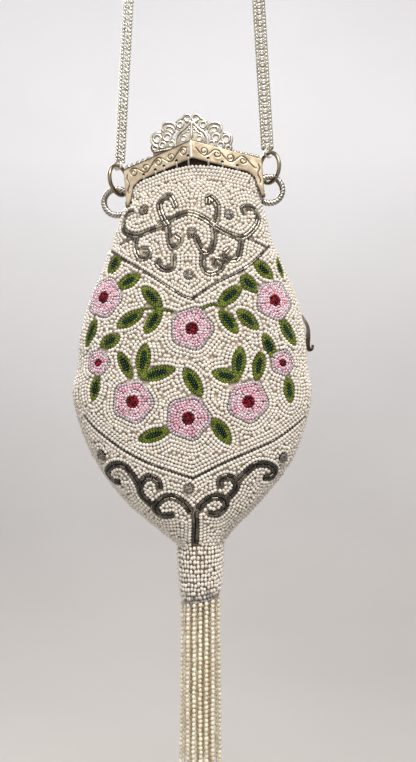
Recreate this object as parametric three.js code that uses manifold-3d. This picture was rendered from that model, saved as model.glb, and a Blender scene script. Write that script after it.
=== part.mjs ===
// Beaded frame bag: a pear-shaped pouch of two cloth panels in a gabled metal frame, with a pierced
// crown, a chain handle on linked rings, a tassel below, and small cut stones sewn to the front.
// Millimetres, +Z up, the front towards -Y. The origin is where the chain handle hangs.
import * as THREE from "three";
import { mergeVertices } from "three/addons/utils/BufferGeometryUtils.js";
import Module from "manifold-3d";

const wasm = await Module();
wasm.setup();

// Driving dimensions
const GAP = 0.3; // kept between neighbouring pieces
const HANG_HEIGHT = 260; // from the frame's corners up to the hanging point
const FRAME_TILT = THREE.MathUtils.degToRad(4.6); // the frame hangs with its right side higher

const FRAME_SHIFT = new THREE.Vector3(0.2, 0, -0.6); // of the frame from the pouch's middle

const frame = {
  halfWidth: 34,
  rise: 10, // of the gable's peak above the corners
  bandHeight: 8.8, // of the front plate at the centre ridge
  bandEndHeight: 8.4, // of the front plate beside the legs
  bandEndAt: 26.5, // from the centre to where the band meets the leg
  ridgeDepth: 13, // from the middle plane to the centre ridge
  cornerDepth: 7, // from the middle plane to the corners
  metal: 1.2,
  split: 0.25, // half the gap between the two halves
  legLength: 18,
  legTopWidth: 4.2,
  legTipWidth: 1.4,
  legShoulder: 9, // how far down the leg starts to taper
  holeRadius: 0.6,
  holes: [-24.2, -18.3, -13.9, -7.7, -1.9, 7.7, 14.5, 21.6], // sewing holes across the band
  holeMargin: 1.7, // from the band's lower edge up to a hole
};

// The two halves' legs overlap at the foot, each half as thick there
const hinge = {
  drop: 15.8,
  lap: 0.45,
  tabRadius: 2.1,
  holeRadius: 1.3,
  pinRadius: 1,
  headRadius: 1.7,
  headHeight: 0.6,
};

const ear = { y: 3.8, drop: 13, radius: 6.6, wire: 1.3, turns: 9, steps: 32, sides: 6, lobe: 0.22 };
const jumpRing = { radius: 7.4, wire: 1, slack: 0.2 };

// The two sides: how far out the ear and the jump ring are, how far the ring is turned, so that its
// inner side passes behind the frame's corner, how far the chain's flat side starts turned, and how far
// inwards of its eye the chain starts
const { degToRad } = THREE.MathUtils;
const sides = [
  { name: "left", sign: -1, ear: 39.5, ring: 37.7, turn: degToRad(-58), chainTurn: 0.85, chainIn: 1 },
  { name: "right", sign: 1, ear: 37.6, ring: 38.5, turn: degToRad(-54), chainTurn: 0.1, chainIn: 0.3 },
];

const crown = {
  shift: -0.46, // of its middle from the pouch's, for it stands upright on the leaning frame
  front: 0.6, // from the middle plane to the near face
  back: 2.2,
  baseOverlap: 0.8, // sunk into the roof
  baseHeight: 3,
  baseHalfWidth: 20.5,
  railEnd: 33,
  railHeight: 2.6,
  scallopRadius: 1.4,
  scallopPitch: 2.7,
};

const wall = 2; // of the cloth panels
const archRise = 10; // how far the panels' top edge drops from the centre to the sides
const archFade = 45; // drop at which the sections are level again

// Sections of the pouch: drop below the frame's corners, half its width and depth, sideways shift of
// the centre, gap between the edges of the two panels, and the power that squares the section off
const sections = [
  { drop: -4, width: 32.2, depth: 9.2, shift: 0.5, gap: 4.8, power: 0.8 },
  { drop: 9, width: 32.2, depth: 9.8, shift: 1.2, gap: 4.8, power: 0.8 },
  { drop: 15, width: 32.2, depth: 11.2, shift: 1.7, gap: 4.8, power: 0.8 },
  { drop: 18.5, width: 33.9, depth: 12, shift: 0.8, gap: 4.2, power: 0.8 },
  { drop: 22, width: 34.9, depth: 12.8, shift: 0.7, gap: 3, power: 0.82 },
  { drop: 27, width: 35.7, depth: 13.8, shift: 0.5, gap: 1.6, power: 0.86 },
  { drop: 32, width: 37.1, depth: 14.7, shift: 0.1, gap: GAP, power: 0.9 },
  { drop: 38, width: 38.6, depth: 15.6, shift: 0.1, gap: GAP, power: 0.95 },
  { drop: 52, width: 44, depth: 17.4, shift: 0.8, gap: GAP, power: 1 },
  { drop: 68, width: 50.5, depth: 19.3, shift: 0.6, gap: GAP, power: 1 },
  { drop: 85, width: 54.6, depth: 20.6, shift: 0.2, gap: GAP, power: 1 },
  { drop: 100, width: 55.6, depth: 21.2, shift: 0.2, gap: GAP, power: 1 },
  { drop: 111, width: 58, depth: 21.6, shift: 0, gap: GAP, power: 1 },
  { drop: 126, width: 55.4, depth: 21, shift: 0, gap: GAP, power: 1 },
  { drop: 146, width: 47.5, depth: 19, shift: 0.5, gap: GAP, power: 1 },
  { drop: 166, width: 32.4, depth: 15.6, shift: 0.4, gap: GAP, power: 1 },
  { drop: 179, width: 18.4, depth: 11.6, shift: 1.6, gap: GAP, power: 1 },
  { drop: 187, width: 10, depth: 9.6, shift: 3.8, gap: GAP, power: 1 },
];
// Where the panels' rows of facets lie, closer together at the neck and the foot
const panelDrops = [
  -4, 3, 9, 15, 18.5, 22, 27, 32, 38, 45, 52, 60, 68, 76.5, 85, 100,
  111, 118.5, 126, 136, 146, 156, 166, 179, 187,
];
const panelColumns = 16;

const tassel = {
  shift: 4, // the tassel hangs a little to the right of the pouch's centre line
  headTop: 187.3,
  headBottom: 216,
  slant: 0.17, // rise of the head's lower end for each millimetre to the right
  topRadius: 10.2,
  bottomRadius: 8.8,
  sides: 20,
  backing: 1.4, // thickness of the disc that carries the strands
  frontStrands: 7, // evenly spaced as seen from the front, with one fewer behind
  strandRadius: 1.1,
  strandCircle: 9,
  strandSpread: 0.5, // further out at the lower end
  strandEnd: 300,
  strandSteps: 2,
};

const chain = {
  width: 6.6,
  thickness: 2.2,
  topRadius: 23, // of the bend over the hanging point
  eyeRadius: 2.1,
  eyeWire: 0.6,
  steps: 36,
  turnFrom: 0.35, // share of the strand below which it stays flat to the front
};

// Cut stones on the front: across from the centre, and drop below the frame's corners
const stones = [
  { name: "stone_upper_left", x: -23.1, drop: 21.9 },
  { name: "stone_upper_right", x: 17.6, drop: 26 },
  { name: "stone_upper_middle", x: 0, drop: 36.3 },
  { name: "stone_point", x: -1.3, drop: 56.8 },
  { name: "stone_lower_left", x: -43.2, drop: 142.4 },
  { name: "stone_lower_right", x: 43.5, drop: 143.8 },
  { name: "stone_lower_middle", x: -1.3, drop: 157.8 },
];
const stone = { radius: 2.1, girdle: 1.5, tableRadius: 1.2, height: 2.5, facets: 10 };

// The pull at the right side seam: drop, distance off the cloth, half its width, and thickness
const pullPath = [
  { drop: 72.5, off: 0.8, width: 1, thick: 0.8 },
  { drop: 76, off: 2.4, width: 1.4, thick: 1 },
  { drop: 80, off: 3.6, width: 1.8, thick: 1.3 },
  { drop: 85.5, off: 2.8, width: 2.2, thick: 2 },
  { drop: 89.6, off: 2.3, width: 2.3, thick: 1.9 },
  { drop: 91.6, off: 3.2, width: 2.2, thick: 1.5 },
  { drop: 91, off: 4.4, width: 1.8, thick: 1.2 },
  { drop: 89, off: 4.9, width: 1.4, thick: 0.9 },
];

// Materials
const metal = (colour, roughness) =>
  new THREE.MeshStandardMaterial({ color: colour, roughness, metalness: 1 });
const agedBrass = metal(0xc2ab88, 0.42);
const agedSilver = metal(0xa79f90, 0.4);
const chainSilver = metal(0xcfc7a6, 0.35);
const beadedCloth = new THREE.MeshStandardMaterial({ color: 0xeee7da, roughness: 0.45 });
const fringeBeads = new THREE.MeshStandardMaterial({ color: 0xe6ddc0, roughness: 0.4 });
const cutGlass = new THREE.MeshStandardMaterial({ color: 0xd5d6dc, roughness: 0.1 });

// Solids: a mesh's closed geometry as a manifold, and back
function toSolid(geometry) {
  const bare = new THREE.BufferGeometry();
  const source = geometry.index ? geometry.toNonIndexed() : geometry;
  bare.setAttribute("position", source.getAttribute("position"));
  const merged = mergeVertices(bare, 1e-4);
  return new wasm.Manifold(
    new wasm.Mesh({
      numProp: 3,
      vertProperties: merged.getAttribute("position").array,
      triVerts: new Uint32Array(merged.index.array),
    }),
  );
}

function toGeometry(solid) {
  const mesh = solid.getMesh();
  const geometry = new THREE.BufferGeometry();
  geometry.setAttribute("position", new THREE.BufferAttribute(new Float32Array(mesh.vertProperties), 3));
  geometry.setIndex(new THREE.BufferAttribute(new Uint32Array(mesh.triVerts), 1));
  return geometry;
}

const join = (...pieces) => pieces.reduce((whole, piece) => whole.add(piece));

function meshGeometry(points, faces) {
  const geometry = new THREE.BufferGeometry();
  geometry.setAttribute("position", new THREE.Float32BufferAttribute(points.flatMap((p) => p.toArray()), 3));
  geometry.setIndex(faces.flat());
  return geometry;
}

// A body through rings of points, capped at both ends. Each ring is convex and runs anticlockwise
// as seen from the last ring.
function loft(rings) {
  const sides = rings[0].length;
  const faces = [];
  for (let r = 0; r + 1 < rings.length; r++) {
    for (let s = 0; s < sides; s++) {
      const a = r * sides + s;
      const b = r * sides + ((s + 1) % sides);
      faces.push([a, b, b + sides], [a, b + sides, a + sides]);
    }
  }
  const last = (rings.length - 1) * sides;
  for (let s = 1; s + 1 < sides; s++) {
    faces.push([0, s + 1, s], [last, last + s, last + s + 1]);
  }
  return meshGeometry(rings.flat(), faces);
}

// A thick sheet between an outer and an inner grid of points, each given as rows of columns
function thickSheet(outer, inner) {
  const rows = outer.length;
  const columns = outer[0].length;
  const at = (row, column, layer) => (layer * rows + row) * columns + column;
  const faces = [];
  const quad = (a, b, c, d) => faces.push([a, b, c], [a, c, d]);
  for (let r = 0; r + 1 < rows; r++) {
    for (let c = 0; c + 1 < columns; c++) {
      quad(at(r, c, 0), at(r + 1, c, 0), at(r + 1, c + 1, 0), at(r, c + 1, 0));
      quad(at(r, c, 1), at(r, c + 1, 1), at(r + 1, c + 1, 1), at(r + 1, c, 1));
    }
    const end = columns - 1;
    quad(at(r, 0, 0), at(r, 0, 1), at(r + 1, 0, 1), at(r + 1, 0, 0));
    quad(at(r, end, 0), at(r + 1, end, 0), at(r + 1, end, 1), at(r, end, 1));
  }
  for (let c = 0; c + 1 < columns; c++) {
    const end = rows - 1;
    quad(at(0, c, 0), at(0, c + 1, 0), at(0, c + 1, 1), at(0, c, 1));
    quad(at(end, c, 0), at(end, c, 1), at(end, c + 1, 1), at(end, c + 1, 0));
  }
  return meshGeometry([...outer.flat(), ...inner.flat()], faces);
}

// A shape drawn in X and Z, given depth between two planes whose Y depends on X
function slab(shape, frontY, backY) {
  const geometry = new THREE.ExtrudeGeometry(shape, { depth: 1, bevelEnabled: false, curveSegments: 5 });
  const place = geometry.getAttribute("position");
  for (let i = 0; i < place.count; i++) {
    const x = place.getX(i);
    const z = place.getY(i);
    // The extrusion's far end is the front, so that the faces keep pointing out
    const y = place.getZ(i) > 0.5 ? frontY(x) : backY(x);
    place.setXYZ(i, x, y, z);
  }
  return toSolid(geometry);
}

const flat = (y) => () => y;
const outline = (...points) => new THREE.Shape(points.map(([x, z]) => new THREE.Vector2(x, z)));
const mirrored = (solid) => join(solid, solid.mirror([1, 0, 0]));

function disc(x, z, radius) {
  return new THREE.Shape().absarc(x, z, radius, 0, 2 * Math.PI);
}

function rod(radius, from, to, sides) {
  const profile = [
    [0, from],
    [radius, from],
    [radius, to],
    [0, to],
  ];
  return new THREE.LatheGeometry(profile.map(([r, h]) => new THREE.Vector2(r, h)), sides);
}

// The pouch
function sectionAt(drop) {
  const last = sections.length - 2;
  const found = sections.findIndex((row, i) => i > 0 && drop <= row.drop);
  const i = found < 0 ? last : Math.min(found - 1, last);
  const [before, from, to, after] = [-1, 0, 1, 2].map(
    (k) => sections[THREE.MathUtils.clamp(i + k, 0, last + 1)],
  );
  const span = to.drop - from.drop;
  const t = (drop - from.drop) / span;
  const blend = (key) => {
    const slopeFrom = ((to[key] - before[key]) / (to.drop - before.drop)) * span;
    const slopeTo = ((after[key] - from[key]) / (after.drop - from.drop)) * span;
    const [t2, t3] = [t * t, t * t * t];
    return (
      (2 * t3 - 3 * t2 + 1) * from[key] +
      (t3 - 2 * t2 + t) * slopeFrom +
      (3 * t2 - 2 * t3) * to[key] +
      (t3 - t2) * slopeTo
    );
  };
  const gap = THREE.MathUtils.lerp(from.gap, to.gap, t);
  const power = THREE.MathUtils.lerp(from.power, to.power, t);
  return { width: blend("width"), depth: blend("depth"), shift: blend("shift"), gap, power };
}

// A point of a panel's surface: side is -1 for the front and 1 for the back, across runs from 0 at
// the right edge to 1 at the left edge, and inset is the distance inside the outer surface
function panelPoint(side, drop, across, inset = 0) {
  const { width, depth, shift, gap, power } = sectionAt(drop);
  const deep = depth - inset;
  const edge = Math.asin((gap / 2 / deep) ** (1 / power));
  const angle = THREE.MathUtils.lerp(edge, Math.PI - edge, across);
  const sideways = Math.sign(Math.cos(angle)) * Math.abs(Math.cos(angle)) ** power;
  const forward = Math.sin(angle) ** power;
  const arch = archRise * Math.max(0, 1 - (drop + 4) / (archFade + 4)) * Math.abs(sideways) ** 1.6;
  return new THREE.Vector3(shift + (width - inset) * sideways, side * deep * forward, -drop - arch);
}

function panel(side) {
  const grid = (inset) =>
    panelDrops.map((drop) =>
      Array.from({ length: panelColumns + 1 }, (_, c) => {
        const across = c / panelColumns;
        return panelPoint(side, drop, side < 0 ? 1 - across : across, inset);
      }),
    );
  return thickSheet(grid(0), grid(wall));
}

// The frame's two halves, drawn as the front one: the back one is its mirror image
const plateFront = (x) =>
  -frame.ridgeDepth + ((frame.ridgeDepth - frame.cornerDepth) * Math.abs(x)) / frame.halfWidth;
const roofSlope = frame.rise / frame.halfWidth;
const roofTop = (x) => frame.rise - roofSlope * Math.abs(x);
const bandLow = (x) =>
  frame.rise - frame.bandHeight +
  ((frame.bandHeight - frame.bandEndHeight) / frame.bandEndAt - roofSlope) * Math.abs(x);

function frameHalf(sideWallEnd) {
  const { halfWidth, rise, legLength, legTopWidth, legTipWidth, legShoulder, bandEndAt } = frame;
  const plateShape = outline(
    [0, rise],
    [0, bandLow(0)],
    [bandEndAt, bandLow(bandEndAt)],
    [halfWidth - legTopWidth, -legShoulder],
    [halfWidth - legTipWidth, -legLength],
    [halfWidth, -legLength],
    [halfWidth, 0],
  );
  const rimShape = outline(
    [0, rise],
    [0, rise - frame.metal],
    [halfWidth - frame.metal, roofTop(halfWidth - frame.metal) - frame.metal],
    [halfWidth - frame.metal, -sideWallEnd],
    [halfWidth, -sideWallEnd],
    [halfWidth, 0],
  );
  const plate = slab(plateShape, plateFront, (x) => plateFront(x) + frame.metal);
  const rim = slab(rimShape, (x) => plateFront(x) + frame.metal / 2, flat(-frame.split));
  let half = mirrored(plate.add(rim));
  for (const x of frame.holes) {
    const hole = disc(x, bandLow(x) + frame.holeMargin, frame.holeRadius);
    half = half.subtract(slab(hole, flat(-frame.ridgeDepth - 1), flat(-frame.cornerDepth + frame.metal)));
  }
  return half;
}

// A flat ear across the middle plane at the foot of each leg, drilled for the hinge pin
function hingeTabs(outerFace, frontY) {
  const shape = new THREE.Shape();
  shape.moveTo(frontY, -hinge.drop - hinge.tabRadius);
  shape.lineTo(0, -hinge.drop - hinge.tabRadius);
  shape.absarc(0, -hinge.drop, hinge.tabRadius, -Math.PI / 2, Math.PI / 2);
  shape.lineTo(frontY, -hinge.drop + hinge.tabRadius);
  shape.holes.push(new THREE.Path().absarc(0, -hinge.drop, hinge.holeRadius, 0, 2 * Math.PI));
  const options = { depth: hinge.lap, bevelEnabled: false, curveSegments: 8 };
  const geometry = new THREE.ExtrudeGeometry(shape, options);
  const yzToX = new THREE.Matrix4().makeBasis(
    new THREE.Vector3(0, 1, 0),
    new THREE.Vector3(0, 0, 1),
    new THREE.Vector3(1, 0, 0),
  );
  geometry.applyMatrix4(yzToX);
  geometry.translate(outerFace - hinge.lap, 0, 0);
  return mirrored(toSolid(geometry));
}

const tabTop = hinge.drop - hinge.tabRadius - 2 * GAP;

function frontHalf() {
  const tabs = hingeTabs(frame.halfWidth, -frame.cornerDepth + frame.metal / 2);
  return toGeometry(join(frameHalf(tabTop), tabs));
}

// The wire of each side ear: a twisted rod bent round and soldered to the side of the back half
function twistedEar(earX) {
  const wallMiddle = frame.halfWidth - frame.metal / 2;
  const start = Math.acos((wallMiddle - earX) / ear.radius);
  const rings = Array.from({ length: ear.steps + 1 }, (_, k) => {
    const along = k / ear.steps;
    const angle = THREE.MathUtils.lerp(start, -start, along);
    const out = new THREE.Vector3(Math.cos(angle), 0, Math.sin(angle));
    const centre = new THREE.Vector3(earX, ear.y, -ear.drop).addScaledVector(out, ear.radius);
    return Array.from({ length: ear.sides }, (_, s) => {
      const round = (2 * Math.PI * s) / ear.sides;
      const lobe = s % 2 ? ear.wire : ear.wire * (1 - ear.lobe);
      const turn = round - along * ear.turns * (Math.PI / 2);
      return centre
        .clone()
        .addScaledVector(out, lobe * Math.cos(turn))
        .add(new THREE.Vector3(0, -lobe * Math.sin(turn), 0));
    });
  });
  return toSolid(loft(rings));
}

// Rings of the pierced crown: centre, outer radius and radius of the hole, on the right half. The
// crown is drawn upright, up from the level of the frame's corners.
const crownRings = [
  { x: 2, z: 24.6, outer: 2.4, hole: 0.9 },
  { x: 5.8, z: 21.4, outer: 2.8, hole: 1 },
  { x: 11.7, z: 19.5, outer: 3.6, hole: 0.9 },
  { x: 17.2, z: 14.4, outer: 3.4, hole: 1.3 },
  { x: 12.2, z: 15, outer: 3, hole: 1.2 },
  { x: 10, z: 11.9, outer: 2.4, hole: 0.85 },
  { x: 14.6, z: 11.2, outer: 2.8, hole: 0.9 },
  { x: 18.2, z: 9.8, outer: 2.4, hole: 0.8 },
];
// A curved slot over the hole of the widest ring
const crownSlot = { x: 11.7, z: 19.5, inner: 1.75, outer: 2.55, from: 0.5, to: 2.64 };
// The bell in the middle of the crown: half its width at each height, and its holes
const bell = [
  { z: 8.8, width: 8.6 },
  { z: 12.3, width: 8.3 },
  { z: 14.3, width: 7.6 },
  { z: 17, width: 5.4 },
  { z: 20, width: 2.8 },
  { z: 23.5, width: 1.1 },
];
const bellHoles = [
  { x: 0, z: 16, radius: 0.9 },
  { x: 1.6, z: 18.6, radius: 0.6 },
  { x: -1.6, z: 18.6, radius: 0.6 },
  { x: 4, z: 14.6, radius: 1 },
  { x: -4, z: 14.6, radius: 1 },
];
// The plain strip that joins the crown to the roof: its lower corners follow the roof
const crownFoot = [
  [0, 8.6],
  [18.5, 4.6],
  [19.6, 8.6],
  [0, 11.4],
  [-19.6, 8.6],
  [-18.5, 1.8],
];

function crownPlate() {
  const depth = [flat(crown.front), flat(crown.back)];
  const through = [flat(crown.front - 1), flat(crown.back + 1)];
  const right = bell.map(({ z, width }) => [width, z]);
  const left = bell.map(({ z, width }) => [-width, z]).reverse();
  let plate = slab(outline(...right, ...left), ...depth).add(slab(outline(...crownFoot), ...depth));
  for (const { x, z, outer } of crownRings) {
    plate = plate.add(mirrored(slab(disc(x, z, outer), ...depth)));
  }
  for (const { x, z, hole } of crownRings) {
    plate = plate.subtract(mirrored(slab(disc(x, z, hole), ...through)));
  }
  for (const { x, z, radius } of bellHoles) {
    plate = plate.subtract(slab(disc(x, z, radius), ...through));
  }
  const { x, z, inner, outer, from, to } = crownSlot;
  const slot = new THREE.Shape().absarc(x, z, outer, from, to).absarc(x, z, inner, to, from, true);
  plate = plate.subtract(mirrored(slab(slot, ...through)));
  return plate
    .translate([crown.shift - FRAME_SHIFT.x, 0, -FRAME_SHIFT.z])
    .rotate([0, THREE.MathUtils.radToDeg(FRAME_TILT), 0]);
}

// A low fence along the roof, plain under the crown and scalloped down to the corners
function crownRail() {
  const depth = [flat(crown.front), flat(crown.back)];
  const strip = (end, height) =>
    outline(
      [0, roofTop(0) - crown.baseOverlap],
      [end, roofTop(end) - crown.baseOverlap],
      [end, roofTop(end) + height],
      [0, roofTop(0) + height],
    );
  let rail = slab(strip(crown.baseHalfWidth, crown.baseHeight), ...depth);
  rail = rail.add(slab(strip(crown.railEnd, crown.railHeight), ...depth));
  for (let x = crown.baseHalfWidth + 1; x < crown.railEnd; x += crown.scallopPitch) {
    rail = rail.add(slab(disc(x, roofTop(x) + crown.railHeight, crown.scallopRadius), ...depth));
  }
  return mirrored(rail);
}

function backHalf() {
  const plain = frameHalf(tabTop).mirror([0, 1, 0]);
  const tabs = hingeTabs(frame.halfWidth - frame.metal + hinge.lap, -frame.cornerDepth + frame.metal / 2);
  const [left, right] = sides.map((side) => twistedEar(side.ear));
  return toGeometry(
    join(plain, tabs.mirror([0, 1, 0]), crownRail(), crownPlate(), left.mirror([1, 0, 0]), right),
  );
}

function hingePin() {
  const inner = frame.halfWidth - frame.metal - GAP;
  const outer = frame.halfWidth + GAP;
  const profile = [
    [0, inner - hinge.headHeight],
    [hinge.headRadius, inner - hinge.headHeight],
    [hinge.headRadius, inner],
    [hinge.pinRadius, inner],
    [hinge.pinRadius, outer],
    [hinge.headRadius, outer],
    [hinge.headRadius, outer + hinge.headHeight],
    [0, outer + hinge.headHeight],
  ];
  const geometry = new THREE.LatheGeometry(profile.map(([r, h]) => new THREE.Vector2(r, h)), 12);
  geometry.rotateZ(-Math.PI / 2);
  return geometry;
}

// The jump ring hangs through the top of the ear and turns edge-on to the frame
function jumpRingCentre(side) {
  const earTop = Math.sqrt(ear.radius ** 2 - (side.ring - side.ear) ** 2) - ear.drop;
  const under = ear.wire + GAP + jumpRing.wire + jumpRing.slack;
  return new THREE.Vector3(side.sign * side.ring, ear.y, earTop - under + jumpRing.radius);
}

// One strand of the chain handle as a flat band from its eye up to the hanging point, in the bag's
// frame. The eye is the last link, round the top of the jump ring.
function chainStrand(side) {
  const tilted = new THREE.Matrix4().makeRotationY(-FRAME_TILT).setPosition(FRAME_SHIFT);
  const ringTop = jumpRingCentre(side);
  ringTop.z += jumpRing.radius;
  const eyeCentre = ringTop.applyMatrix4(tilted).clone();
  eyeCentre.z += chain.eyeRadius - jumpRing.wire - GAP - chain.eyeWire;
  const start = eyeCentre.clone();
  start.x -= side.sign * side.chainIn;
  start.z += chain.eyeRadius - chain.eyeWire / 2;

  const bend = chain.topRadius + chain.thickness / 2;
  const bendCentre = new THREE.Vector3(0, start.y, HANG_HEIGHT - chain.topRadius);
  const reach = bendCentre.clone().sub(start);
  const lean = Math.atan2(Math.abs(reach.x), reach.z) - Math.asin(bend / Math.hypot(reach.x, reach.z));
  const path = new THREE.CurvePath();
  const onBend = (angle) =>
    new THREE.Vector3(side.sign * bend * Math.cos(angle), 0, bend * Math.sin(angle)).add(bendCentre);
  path.add(new THREE.LineCurve3(start, onBend(lean)));
  const top = Math.PI / 2 - GAP / 2 / bend;
  const arc = Array.from({ length: 9 }, (_, k) => onBend(THREE.MathUtils.lerp(lean, top, k / 8)));
  path.add(new THREE.CatmullRomCurve3(arc));

  const rings = Array.from({ length: chain.steps + 1 }, (_, k) => {
    const along = k / chain.steps;
    const tangent = path.getTangentAt(along);
    const turned = THREE.MathUtils.smoothstep(along, chain.turnFrom, 0.8);
    const turn = THREE.MathUtils.lerp(side.chainTurn, Math.PI / 2, turned);
    const inPlane = new THREE.Vector3(0, 1, 0).cross(tangent).normalize();
    const across = inPlane.clone().multiplyScalar(Math.cos(turn));
    across.y += Math.sin(turn);
    const through = tangent.clone().cross(across);
    return bandSection(path.getPointAt(along), across, through);
  });
  const eye = new THREE.TorusGeometry(chain.eyeRadius, chain.eyeWire, 6, 12);
  eye.rotateY(Math.PI / 2);
  eye.rotateZ(side.sign * side.turn);
  eye.translate(...eyeCentre.toArray());
  return toGeometry(join(toSolid(loft(rings)), toSolid(eye)));
}

// The band's section, a rectangle with its corners cut
function bandSection(centre, across, through) {
  const [w, t] = [chain.width / 2, chain.thickness / 2];
  const corner = t / 2;
  const points = [
    [w, -t + corner],
    [w, t - corner],
    [w - corner, t],
    [corner - w, t],
    [-w, t - corner],
    [-w, corner - t],
    [corner - w, -t],
    [w - corner, -t],
  ];
  return points.map(([a, b]) => centre.clone().addScaledVector(across, a).addScaledVector(through, b));
}

// The tassel
function tasselHead() {
  const profile = [
    [0, -tassel.headBottom],
    [tassel.bottomRadius - 0.6, -tassel.headBottom],
    [tassel.bottomRadius, -tassel.headBottom + 0.8],
    [tassel.topRadius, -tassel.headTop - 6],
    [tassel.topRadius, -tassel.headTop],
    [0, -tassel.headTop],
  ];
  const geometry = new THREE.LatheGeometry(profile.map(([r, h]) => new THREE.Vector2(r, h)), tassel.sides);
  geometry.rotateX(Math.PI / 2);
  slanted(geometry, (z) => (-tassel.headTop - z) / (tassel.headBottom - tassel.headTop));
  geometry.translate(tassel.shift, 0, 0);
  return geometry;
}

// Moves points up to the right by the tassel's slant, by a share that depends on the height
function slanted(geometry, shareAt) {
  const place = geometry.getAttribute("position");
  for (let i = 0; i < place.count; i++) {
    place.setZ(i, place.getZ(i) + tassel.slant * place.getX(i) * shareAt(place.getZ(i)));
  }
}

function tasselFringe() {
  const top = -tassel.headBottom - GAP;
  const disc = rod(tassel.strandCircle, top - tassel.backing, top, tassel.sides);
  disc.rotateX(Math.PI / 2);
  slanted(disc, () => 1);
  let fringe = toSolid(disc);
  const half = (tassel.frontStrands - 1) / 2;
  const front = Array.from({ length: tassel.frontStrands }, (_, i) => -Math.acos((i - half) / half));
  const back = Array.from({ length: tassel.frontStrands - 1 }, (_, i) => Math.acos((i - half + 0.5) / half));
  for (const round of [...front, ...back]) {
    const rings = Array.from({ length: tassel.strandSteps + 1 }, (_, k) => {
      const along = k / tassel.strandSteps;
      const circle = tassel.strandCircle + tassel.strandSpread * along;
      const level = top - tassel.backing / 2 + tassel.slant * circle * Math.cos(round);
      const z = THREE.MathUtils.lerp(level, -tassel.strandEnd, along);
      return Array.from({ length: 6 }, (_, s) => {
        const turn = -(Math.PI / 3) * s;
        const x = circle * Math.cos(round) + tassel.strandRadius * Math.cos(turn);
        const y = circle * Math.sin(round) + tassel.strandRadius * Math.sin(turn);
        return new THREE.Vector3(x, y, z);
      });
    });
    fringe = fringe.add(toSolid(loft(rings)));
  }
  return toGeometry(fringe.translate([tassel.shift, 0, 0]));
}

// A round cut stone with a flat table, in one with the cup that holds it
function cutStone() {
  const profile = [
    [0, 0],
    [stone.radius, 0],
    [stone.radius, stone.girdle],
    [stone.tableRadius, stone.height],
    [0, stone.height],
  ];
  return new THREE.LatheGeometry(profile.map(([r, h]) => new THREE.Vector2(r, h)), stone.facets);
}

// Where a stone sits: on the front panel's surface, facing out along it
function seatStone(mesh, { x, drop }) {
  let [low, high] = [0, 1];
  while (high - low > 1e-6) {
    const middle = (low + high) / 2;
    [low, high] = panelPoint(-1, drop, middle).x > x ? [middle, high] : [low, middle];
  }
  const here = panelPoint(-1, drop, low);
  const toLeft = panelPoint(-1, drop, low + 0.02).sub(here);
  const down = panelPoint(-1, drop + 1, low).sub(here);
  const out = toLeft.cross(down).normalize();
  mesh.quaternion.setFromUnitVectors(new THREE.Vector3(0, 1, 0), out);
  mesh.position.copy(here).addScaledVector(out, 2 * GAP);
}

// The pull's tongue: a flat strip along its path beside the right seam, its tip curled outwards
function sidePull() {
  const points = pullPath.map(({ drop, off }) => {
    const { width, shift } = sectionAt(drop);
    return new THREE.Vector3(shift + width + off, 0, -drop);
  });
  const curve = new THREE.CatmullRomCurve3(points);
  const steps = 3 * (points.length - 1);
  const rings = Array.from({ length: steps + 1 }, (_, k) => {
    const along = k / steps;
    const row = Math.min(Math.floor(k / 3), points.length - 2);
    const [width, thick] = ["width", "thick"].map((key) =>
      THREE.MathUtils.lerp(pullPath[row][key], pullPath[row + 1][key], k / 3 - row),
    );
    const out = new THREE.Vector3(0, 1, 0).cross(curve.getTangent(along)).multiplyScalar(thick / 2);
    const side = new THREE.Vector3(0, width, 0);
    const centre = curve.getPoint(along);
    return [
      centre.clone().add(out).sub(side),
      centre.clone().add(out).add(side),
      centre.clone().sub(out).add(side),
      centre.clone().sub(out).sub(side),
    ];
  });
  return loft(rings);
}

// Assembly
const handbag = new THREE.Group();
const bag = new THREE.Group();
bag.position.z = -HANG_HEIGHT;
const frameGroup = new THREE.Group();
frameGroup.rotation.y = -FRAME_TILT;
frameGroup.position.copy(FRAME_SHIFT);
handbag.add(bag);
bag.add(frameGroup);

function add(group, name, geometry, material) {
  const mesh = new THREE.Mesh(geometry, material);
  mesh.name = name;
  group.add(mesh);
  return mesh;
}

add(bag, "front_panel", panel(-1), beadedCloth);
add(bag, "back_panel", panel(1), beadedCloth);
add(frameGroup, "frame_front", frontHalf(), agedBrass);
add(frameGroup, "frame_back", backHalf(), agedBrass);

for (const side of sides) {
  const pin = add(frameGroup, `hinge_pin_${side.name}`, hingePin(), agedBrass);
  pin.position.z = -hinge.drop;
  pin.rotation.z = side.sign < 0 ? Math.PI : 0;

  const ringShape = new THREE.TorusGeometry(jumpRing.radius, jumpRing.wire, 6, 24);
  const ring = add(frameGroup, `jump_ring_${side.name}`, ringShape, agedSilver);
  ring.rotation.set(Math.PI / 2, 0, side.sign * side.turn, "ZXY");
  ring.position.copy(jumpRingCentre(side));

  add(bag, `chain_${side.name}`, chainStrand(side), chainSilver);
}

add(bag, "tassel_head", tasselHead(), beadedCloth);
add(bag, "tassel_fringe", tasselFringe(), fringeBeads);
add(bag, "side_pull", sidePull(), agedSilver);
for (const row of stones) {
  seatStone(add(bag, row.name, cutStone(), cutGlass), row);
}

export default handbag;
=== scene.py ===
import math
import random

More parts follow.
